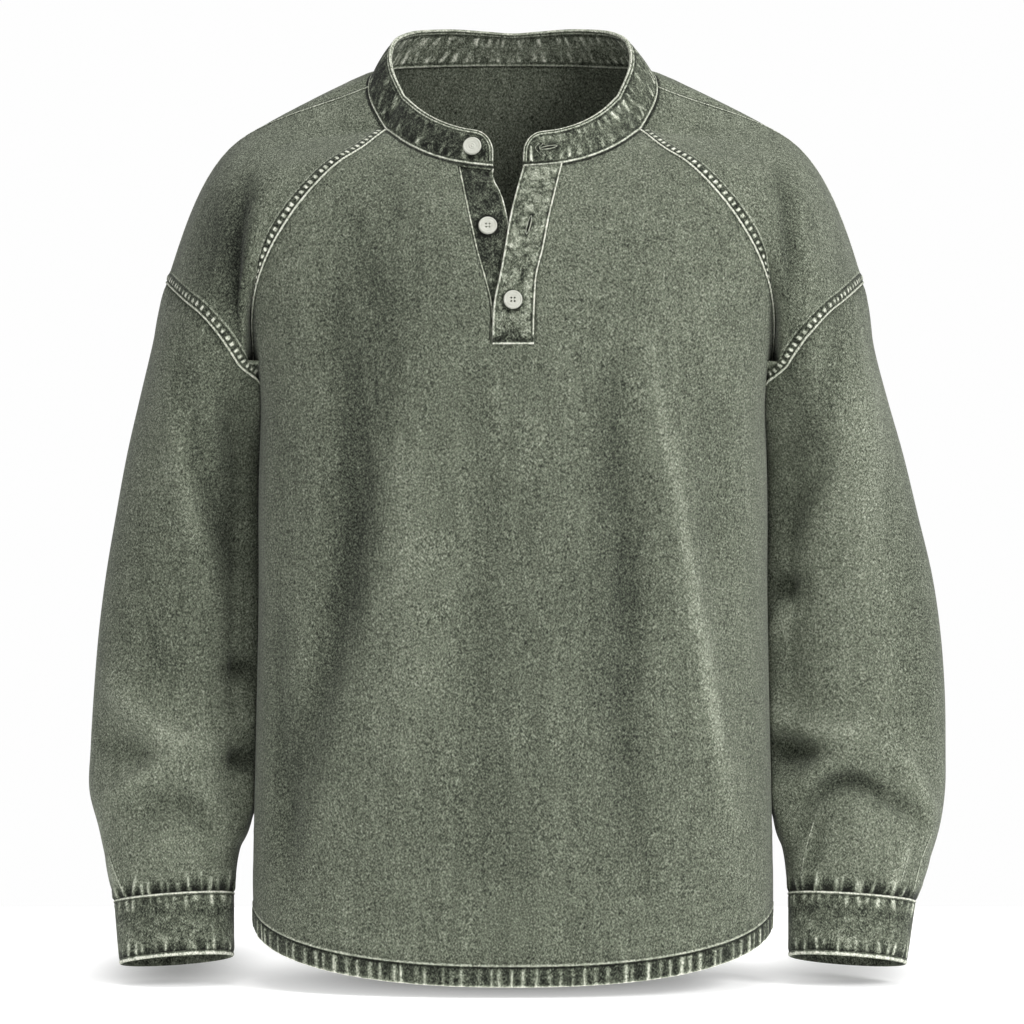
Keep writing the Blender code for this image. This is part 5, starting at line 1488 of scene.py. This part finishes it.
def stitches(name, rows, long, gap, thick, seed, sink=0.12):
    """Stitches along rows of (line, facing), joined into one mesh."""
    chance = np.random.default_rng(seed)
    verts, wear = [], []
    for line, facing in rows:
        total = lengths(line)[-1]
        count = max(1, int(total / (long + gap)))
        at = (np.arange(count) + 0.5) * total / count
        pick = lambda where, values: between(where, lengths(line), values)
        half = (total / count - gap) / 2
        start, end = pick(at - half, line), pick(at + half, line)
        out = unit(pick(at, facing))
        forward = end - start
        side = unit(np.cross(out, forward))
        up = unit(np.cross(forward, side))
        width = thick * chance.uniform(0.85, 1.15, (count, 1, 1))
        drop = sink * (2 * np.abs(stitch_points[:, 0])) ** 3
        middle = (start + end)[:, None] / 2
        made = (middle + stitch_points[None, :, :1] * forward[:, None]
                + stitch_points[None, :, 1:2] * side[:, None] * width
                + (stitch_points[None, :, 2:3] * width - drop[None, :, None]) * up[:, None])
        verts.append(made.reshape(-1, 3))
        wear.append(np.repeat(chance.uniform(-0.3, 0.5, count), len(stitch_points)))
    verts, wear = np.vstack(verts) * MM, np.concatenate(wear)
    copies = len(verts) // len(stitch_points)
    faces = [[corner + n * len(stitch_points) for corner in face] for n in range(copies)
             for face in stitch_faces]
    mesh = bpy.data.meshes.new(name)
    mesh.from_pydata(verts.tolist(), [], faces)
    layer = mesh.attributes.new("wear", "FLOAT", "POINT")
    layer.data.foreach_set("value", wear.astype(np.float32))
    mesh.shade_smooth()
    return new_object(name, mesh), copies


# %% Buttonholes and the bartack
def oval(ends, wide):
    """Flat points round a buttonhole."""
    middle, half = ends.mean(axis=0), (ends[1] - ends[0]) / 2
    side = np.array([-half[1], half[0]]) / np.linalg.norm(half) * wide / 2
    turn = np.linspace(0, 2 * math.pi, 41)[:, None]
    return middle + half * np.cos(turn) + side * np.sin(turn)


def on_front(places, lift):
    """Flat (x, z) places laid on the front, moved out by lift."""
    base, facing = on_chest(places[:, :1], places[:, 1:])
    return (base + facing * lift)[:, 0], facing[:, 0]


OVER_TOP = STRIP_LIFT["over"][0]
hole_rows = [on_front(oval(STRIP_BUTTONHOLE, wide), OVER_TOP + 0.25) for wide in (2.2, 3.3)]
hole_rows.append(on_front(np.array([[15.0, -116.6], [15.3, -115.4]]), OVER_TOP + 0.3))
for wide in (2.0, 3.0):
    hole_rows.append(on_collar(oval(COLLAR_BUTTONHOLE, wide), 0.3))
keyhole = smooth([0, 0.5, 1], [[neck_length - 14.2, 19.0], [neck_length - 10.8, 15.2],
                               [neck_length - 15.2, 8.6]], np.linspace(0, 1, 16))
hole_rows += [on_collar(keyhole, 0.3), on_collar(keyhole - np.array([3.4, 0.4]), 0.3)]
strokes = np.linspace(*BARTACK["x"], BARTACK["strokes"])
lean = np.linspace(-0.8, 0.8, BARTACK["strokes"])
tack_rows = [on_front(np.array([[x - d, BARTACK["z"] - BARTACK["tall"] / 2],
                                [x + d, BARTACK["z"] + BARTACK["tall"] / 2]]), OVER_TOP + 0.2)
             for x, d in zip(strokes, lean)]
tack_rows.append(on_front(np.array([[BARTACK["x"][0], BARTACK["z"] + 1.2],
                                    [BARTACK["x"][1], BARTACK["z"] + 0.8]]), OVER_TOP + 0.4))
under_row = np.stack([np.full(30, -18.0), np.linspace(-190, -222, 30)], axis=1)
thread_rows.append(on_front(under_row, 0.2))
hole_thread, holes = stitches("buttonhole_stitching", hole_rows, 1.5, 0.25, 0.42, seed=9, sink=0.1)
tack_thread, tacks = stitches("bartack_stitching", tack_rows, 4.6, 0.2, 0.5, seed=10, sink=0.25)
print(holes, "buttonhole stitches,", tacks, "bartack stitches")

# %% All rows of stitching
seam_thread, count = stitches("seam_stitching", thread_rows, STITCH["long"], STITCH["gap"],
                              STITCH["thick"], seed=7)
bright_thread, more = stitches("bright_stitching", bright_rows, 2.6, 0.9, 0.5, seed=8, sink=0.2)
print(count + more, "stitches in", len(thread_rows) + len(bright_rows), "rows")

# %% [markdown]
# ## Buttons
#
# A button is turned like the real one: half of its section is spun round its axis. Four holes
# are then drilled in the two lower ones with a Boolean. Each finished button takes the place and
# the tilt of its plain one, which are measured from that solid's points.

# %% Turning a button
BUTTON_RIM = [(0, 0.05), (6.8, 0.05), (7.2, 0.2), (7.42, 0.55), (7.45, 1.2), (7.42, 2.0),
              (7.25, 2.4), (6.9, 2.62), (6.5, 2.66), (6.1, 2.6), (5.8, 2.42), (5.6, 2.3)]
BUTTON_HALF = {
    "drilled": BUTTON_RIM + [(5.4, 2.34), (4.9, 2.4), (4.2, 2.3), (3.2, 2.1), (1.6, 1.98),
                             (0, 1.95)],
    "plain": BUTTON_RIM + [(5.2, 2.32), (4.2, 2.25), (3.3, 2.15), (2.8, 2.0), (2.5, 2.2),
                           (2.1, 2.42), (1.7, 2.3), (1.45, 2.05), (1.2, 2.0), (0.95, 2.15),
                           (0.7, 2.4), (0.35, 2.52), (0, 2.54)],
}
BUTTON_HOLES = {"radius": 0.8, "spread": 1.35}


def spun(name, section):
    work = bmesh.new()
    chain = [work.verts.new((r * MM, 0, z * MM)) for r, z in section]
    for a, b in zip(chain[:-1], chain[1:]):
        work.edges.new((a, b))
    bmesh.ops.spin(work, geom=work.verts[:] + work.edges[:], cent=(0, 0, 0), axis=(0, 0, 1),
                   angle=2 * math.pi, steps=56, use_merge=True)
    bmesh.ops.remove_doubles(work, verts=work.verts, dist=1e-6)
    bmesh.ops.recalc_face_normals(work, faces=work.faces)
    return mesh_of(name, work)


def drill(made):
    """Four holes right through a button that lies on the XY plane."""
    work = bmesh.new()
    radius, spread = BUTTON_HOLES["radius"] * MM, BUTTON_HOLES["spread"] * MM
    for x in (-spread, spread):
        for y in (-spread, spread):
            bmesh.ops.create_cone(work, cap_ends=True, segments=16, radius1=radius, radius2=radius,
                                  depth=9 * MM, matrix=Matrix.Translation((x, y, 0)))
    tool = bpy.data.objects.new("drill", mesh_of("drill", work))
    bpy.context.scene.collection.objects.link(tool)
    cut = made.modifiers.new("holes", "BOOLEAN")
    cut.operation, cut.object, cut.solver = "DIFFERENCE", tool, "EXACT"
    bpy.context.view_layer.update()
    finished = made.evaluated_get(bpy.context.evaluated_depsgraph_get())
    drilled = bpy.data.meshes.new_from_object(finished)
    made.modifiers.clear()
    made.data = drilled
    bpy.data.objects.remove(tool)


def plane_of(node):
    """Where a plain button starts and how it is tilted, from its points."""
    points = np.array([vert.co[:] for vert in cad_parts[node].data.vertices])
    middle = points.mean(axis=0)
    normal = np.linalg.svd(points - middle)[2][2]
    normal = normal if normal[1] < 0 else -normal
    low = ((points - middle) @ normal).min()
    side = unit(np.cross(normal, (0, 0, 1)))
    return middle + normal * low, side, np.cross(normal, side), normal


# what shows of the middle button's thread: flat (x, y) ends of each strand
BUTTON_STRANDS = (((-1.35, -1.7), (-1.25, -0.5)), ((1.3, -1.7), (1.2, -0.5)),
                  ((-1.7, 1.4), (0.1, 1.1)), ((0.0, 1.1), (1.7, 1.5)))
button_pieces, button_rows = {}, []
for place in BUTTON_PLACES:
    node = "button_" + place
    kind = "plain" if place == "top" else "drilled"
    made = new_object(node + "_turned", spun(node, BUTTON_HALF[kind]))
    if kind == "drilled":
        drill(made)
    start, side, up, normal = plane_of(node)
    tilt = Matrix([[*row, shift] for row, shift in zip(np.stack([side, up, normal], axis=1), start)]
                  + [[0, 0, 0, 1]])
    made.data.transform(tilt)
    made.data.shade_smooth()
    made.data.set_sharp_from_angle(angle=math.radians(50))
    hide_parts(node)
    button_pieces[place] = made
    print(node, len(made.data.polygons), "faces, starts at", np.round(start / MM, 1))
    if place == "middle":
        at = lambda x, y: (start + side * x * MM + up * y * MM + normal * 2.2 * MM) / MM
        for a, b in BUTTON_STRANDS:
            line = np.array([at(*a), at(*b)])
            button_rows.append((line, np.array([normal, normal])))
button_thread, _ = stitches("button_thread", button_rows, 1.2, 0.05, 0.45, seed=11, sink=0.2)

# %% [markdown]
# ## Shader maths in plain expressions
#
# A node tree for cloth is mostly arithmetic. The class below wraps one output socket, so that
# `grain * 0.3 + wear` builds the Math nodes by itself. `Shader.node` adds any other node: settings
# come first, then the values or links of its sockets.

# %% Values and nodes
class Value:
    """An output socket of a shader, with arithmetic."""

    def __init__(self, shader, socket):
        self.shader, self.socket = shader, socket

    def math(self, operation, other=0.0, first=None):
        node = self.shader.node("ShaderNodeMath", {"operation": operation},
                                {0: self if first is None else first, 1: other})
        return Value(self.shader, node.outputs[0])

    def __add__(self, other):
        return self.math("ADD", other)

    def __sub__(self, other):
        return self.math("SUBTRACT", other)

    def __mul__(self, other):
        return self.math("MULTIPLY", other)

    def __rsub__(self, other):
        node = self.shader.node("ShaderNodeMath", {"operation": "SUBTRACT"}, {0: other, 1: self})
        return Value(self.shader, node.outputs[0])

    __radd__ = __add__
    __rmul__ = __mul__

    def above(self, other):
        return self.math("MAXIMUM", other)

    def below(self, other):
        return self.math("MINIMUM", other)


class Shader:
    """A material being built."""

    def __init__(self, name):
        self.material = bpy.data.materials.new(name)
        self.material.use_nodes = True
        self.tree = self.material.node_tree
        self.surface = self.tree.nodes["Principled BSDF"]

    def plug(self, node, sockets):
        for key, value in sockets.items():
            if isinstance(value, Value):
                self.tree.links.new(value.socket, node.inputs[key])
            elif value is not None:
                node.inputs[key].default_value = value

    def node(self, kind, settings=None, sockets=None):
        made = self.tree.nodes.new(kind)
        for key, value in (settings or {}).items():
            if key == "stops":
                ramp = made.color_ramp
                while len(ramp.elements) < len(value):
                    ramp.elements.new(0.5)
                for element, (place, colour) in zip(ramp.elements, value):
                    element.position, element.color = place, colour
            else:
                setattr(made, key, value)
        self.plug(made, sockets or {})
        return made

    def out(self, node, key=0):
        return Value(self, node.outputs[key])

    def place(self):
        return self.out(self.node("ShaderNodeTexCoord"), "Object")

    def stretched(self, place, turn, scale):
        """Object coordinates turned and scaled, for grain that runs one way."""
        node = self.node("ShaderNodeMapping", {"vector_type": "TEXTURE"},
                         {"Vector": place, "Rotation": turn, "Scale": scale})
        return self.out(node)

    def noise(self, place, scale, detail=2.0, rough=0.5, distortion=0.0):
        node = self.node("ShaderNodeTexNoise", {},
                         {"Vector": place, "Scale": scale, "Detail": detail, "Roughness": rough,
                          "Distortion": distortion})
        return self.out(node, 0)

    def attribute(self, name):
        return self.out(self.node("ShaderNodeAttribute", {"attribute_name": name}), "Fac")

    def colours(self, amount, stops):
        return self.out(self.node("ShaderNodeValToRGB", {"stops": stops}, {0: amount}))

    def bump(self, height, distance, strength=1.0, under=None):
        node = self.node("ShaderNodeBump", {}, {"Height": height, "Distance": distance,
                                                "Strength": strength, "Normal": under})
        return self.out(node)


def linear(red, green, blue):
    """A colour as a screen shows it, 0 to 255, as light."""
    turn = lambda c: c / 12.92 if c <= 0.04045 else ((c + 0.055) / 1.055) ** 2.4
    return tuple(turn(c / 255) for c in (red, green, blue)) + (1.0,)


# %% [markdown]
# ## Olive cloth that has been dyed and stone washed
#
# One ramp holds all the colours of the washed cloth, from the painted shade of its deepest folds to
# the raw cotton along the edges. A single number, the tone, picks the place on it: the weave's fine
# grain moves it a little everywhere, soft blotches and streaks a little more slowly, and the two
# numbers that each cloth keeps push it far: paler where a seam was rubbed, darker where shade is
# painted. The same grain goes to the bump.

# %% The washed cloth
OLIVE = [(0.0, linear(16, 18, 13)), (0.13, linear(36, 40, 32)), (0.30, linear(78, 83, 71)),
         (0.42, linear(106, 112, 96)), (0.60, linear(150, 156, 139)), (0.80, linear(205, 208, 191)),
         (1.0, linear(240, 240, 228))]
BODY_TONE = 0.395


def washed_cloth(name, tone=BODY_TONE, grain=1.0, blotch=1.0):
    shader = Shader(name)
    place = shader.place()
    wear, mottle = shader.attribute("wear"), shader.attribute("mottle")
    slant = [shader.noise(shader.stretched(place, (0, math.radians(turn), 0), (1.0, 2.0, 3.0)),
                          1450, 0.6, 0.6, 0.3) for turn in (35, -38)]
    weave = slant[0].above(slant[1]) + slant[0].below(slant[1]) * 0.35 - 0.70
    fuzz = shader.noise(place, 1300, 1.0, 0.5) - 0.5
    soft = shader.noise(place, 34, 3.0, 0.55) - 0.5
    fall = shader.noise(shader.stretched(place, (0, 0, 0), (1, 1, 7)), 110, 2.0, 0.5) - 0.5
    spots = shader.noise(place, 135, 2.5, 0.6, 0.8) - 0.5
    # wear above 0 pales the cloth; below 0 it darkens it as painted shade
    level = (tone + weave * (0.92 * grain) + fuzz * (0.2 * grain) + soft * (0.08 * blotch)
             + fall * (0.12 * blotch) + mottle * spots * 0.85
             + wear.above(0.0) * (0.32 + weave * 0.15) + wear.below(0.0) * 0.24)
    height = weave * 0.7 + fuzz * 0.3 + mottle * spots * 1.2
    shader.plug(shader.surface, {
        "Base Color": shader.colours(level, OLIVE), "Roughness": 0.9,
        "Normal": shader.bump(height, 0.0006, 0.9),
        "Sheen Weight": 0.12, "Sheen Roughness": 0.5, "Specular IOR Level": 0.18})
    return shader.material


cloth_material = washed_cloth("washed_olive_cloth")
band_material = washed_cloth("washed_olive_bands", grain=1.1, blotch=1.4)
thread_material = washed_cloth("olive_thread", tone=0.40, grain=0.4, blotch=0.3)


# %% Giving every cloth its finish
def finish(made, material):
    made.data.materials.clear()
    made.data.materials.append(material)


for made in made_panels.values():
    finish(made, cloth_material)
for made in (list(hem_pieces.values()) + list(cuff_pieces.values()) + seam_bands + [collar]
             + [piece[0] for piece in strip_pieces.values()]):
    finish(made, band_material)
finish(seam_thread, thread_material)
pale_thread = washed_cloth("pale_thread", tone=0.66, grain=0.4, blotch=0.3)
finish(bright_thread, pale_thread)
finish(hole_thread, washed_cloth("buttonhole_thread", tone=0.62, grain=0.4, blotch=0.3))
finish(tack_thread, washed_cloth("dark_thread", tone=0.10, grain=0.3, blotch=0.3))


# %% Pale buttons
def button_material():
    shader = Shader("ivory_button")
    place = shader.place()
    cloud, speck = shader.noise(place, 220, 2.0, 0.5), shader.noise(place, 1900, 2.0, 0.5)
    shader.plug(shader.surface, {
        "Base Color": shader.colours(cloud * 0.8 + speck * 0.2, [(0.3, linear(188, 189, 177)),
                                                                 (0.7, linear(206, 207, 196))]),
        "Roughness": cloud * 0.14 + 0.34,
        "Normal": shader.bump(speck, 0.00004, 0.5),
        "Specular IOR Level": 0.4, "Coat Weight": 0.15, "Coat Roughness": 0.3})
    return shader.material


ivory = button_material()
for made in button_pieces.values():
    finish(made, ivory)
finish(button_thread, washed_cloth("button_thread", tone=0.50, grain=0.3, blotch=0.3))
print("materials", [material.name for material in bpy.data.materials])

# %% [markdown]
# ## Studio
#
# The garment is photographed on plain white with large soft lamps: the strongest to the viewer's
# right and above, a weaker one to the left, and light from all round. The floor is white, glows
# and lies just below the hem; soft shadows where the cloth nearly touches it are painted into its
# glow.

# %% Floor
FLOOR = -0.7385
# painted shadows in the floor's glow, where the cloth all but touches it: x, y, reach, depth, how
# dark
PAINTED_FLOOR_SHADOWS = [(-0.285, 0.13, 0.085, 0.26, 0.95), (0.285, 0.13, 0.085, 0.26, 0.95),
               (0.0, 0.03, 0.30, 0.22, 0.9)]


def white_floor():
    work = bmesh.new()
    bmesh.ops.create_grid(work, x_segments=8, y_segments=8, size=1.15)
    bmesh.ops.translate(work, verts=work.verts, vec=(0, -0.5, FLOOR))
    mesh = mesh_of("floor", work)
    floor = bpy.data.objects.new("floor", mesh)
    bpy.context.scene.collection.objects.link(floor)
    shader = Shader("white_floor")
    grain = shader.noise(shader.place(), 3.0, 2.0)
    shade = shader.colours(grain, [(0.0, (0.93, 0.93, 0.93, 1)), (1.0, (0.95, 0.95, 0.95, 1))])
    parts = shader.node("ShaderNodeSeparateXYZ", {}, {0: shader.place()})
    x, y = shader.out(parts, 0), shader.out(parts, 1)
    glow_less_painted_shadows = 1.0
    # each pool dims the floor's glow: a painted shadow
    for at_x, at_y, wide, deep, dark in PAINTED_FLOOR_SHADOWS:
        across, along = (x - at_x) * (1 / wide), (y - at_y) * (1 / deep)
        near = (1.0 - (across * across + along * along)).above(0.0)
        glow_less_painted_shadows = (1.0 - near * near * dark) * glow_less_painted_shadows
    glow_with_painted_shadows = shader.colours(glow_less_painted_shadows, [(0.0, (0, 0, 0, 1)), (1.0, (1, 1, 1, 1))])
    shader.plug(shader.surface, {"Base Color": shade, "Roughness": 1.0, "Specular IOR Level": 0.0,
                                 "Emission Color": glow_with_painted_shadows, "Emission Strength": 0.7})
    mesh.materials.append(shader.material)


white_floor()

# %% Lamps
LAMPS = {
    "key":  {"at": (2.2, -2.0, 1.2), "size": 1.3, "power": 66},
    "fill": {"at": (-2.0, -2.6, 0.2), "size": 2.0, "power": 9},
    "top":  {"at": (0.2, -0.6, 2.2), "size": 2.0, "power": 34},
}
AIM = Vector((0.0, 0.0, -0.36))

for name, lamp in LAMPS.items():
    data = bpy.data.lights.new(name, "AREA")
    data.size, data.energy = lamp["size"], lamp["power"]
    made = bpy.data.objects.new(name, data)
    made.location = lamp["at"]
    made.rotation_euler = (Vector(lamp["at"]) - AIM).to_track_quat("Z", "Y").to_euler()
    bpy.context.scene.collection.objects.link(made)

# %% White all round
ALL_ROUND = 0.28

world = bpy.data.worlds.new("studio")
world.use_nodes = True
bpy.context.scene.world = world
nodes, links = world.node_tree.nodes, world.node_tree.links
around = nodes["Background"]
around.inputs["Color"].default_value = (ALL_ROUND, ALL_ROUND, ALL_ROUND, 1)
backdrop = nodes.new("ShaderNodeBackground")
backdrop.inputs["Color"].default_value = (0.99, 0.99, 0.99, 1)
mix = nodes.new("ShaderNodeMixShader")
seen = nodes.new("ShaderNodeLightPath")
links.new(seen.outputs["Is Camera Ray"], mix.inputs[0])
links.new(around.outputs[0], mix.inputs[1])
links.new(backdrop.outputs[0], mix.inputs[2])
links.new(mix.outputs[0], nodes["World Output"].inputs["Surface"])
bpy.context.scene.view_settings.view_transform = "Standard"
print("lamps", sorted(LAMPS))

# %% [markdown]
# ## The cloth's cut sizes
#
# Each cloth's cut size and area are printed. A panel is one layer, as wide and as long as its grid
# measured along the cloth, and its area is that of its cells. The placket strips are closed bags,
# so the size printed is that of the finished strip, one of its two layers. The collar, the hem and
# the cuffs are open folds, printed as they were cut, unfolded.

# %% Sheets
def flat_area(made):
    return sum(face.area for face in made.data.polygons)


def state(made, rests_on=(), with_pieces=(), layers=1):
    wide, long = (size * MM for size in cuts[made.name])
    area = min(flat_area(made), wide * long) / layers
    print(made.name, "cut", round(wide / MM), "x", round(long / MM / layers), "mm, area",
          round(area, 4), "square metres,", round(area * layers / wide / long, 2), "of that")
    long / layers


bands = {made.name: made for made in seam_bands}
on_front = ([bands[name] for name in ("raglan_front_seam_left", "raglan_front_seam_right",
                                      "side_seam_left", "side_seam_right", "neck_painted_shade")]
            + [seam_thread, bright_thread])
state(made_panels["front"], ["collar", "shoulder_front_left", "shoulder_front_right"],
      on_front)
state(made_panels["back"], ["collar", "shoulder_back_left", "shoulder_back_right"],
      [bands["raglan_back_seam_left"], bands["raglan_back_seam_right"]])
for side_name, tucks in (("left", (1,)), ("right", (2, 3, 4))):
    state(made_panels["shoulder_front_" + side_name], ["collar"],
          [bands["shoulder_top_seam_" + side_name]])
    state(made_panels["shoulder_back_" + side_name], ["collar"])
    state(made_panels["sleeve_" + side_name],
          ["shoulder_front_" + side_name, "shoulder_back_" + side_name],
          [bands["drop_seam_" + side_name], bands["underarm_seam_" + side_name]]
          + [bands["sleeve_tuck_" + str(number)] for number in tucks])
    state(cuff_pieces[side_name], ["sleeve_" + side_name])
for face, made in hem_pieces.items():
    state(made, [face])
state(collar, ["front", "back"])
state(strip_pieces["over"][0], ["front"], [hole_thread, tack_thread], layers=2)
state(strip_pieces["under"][0], ["front"], [button_thread], layers=2)
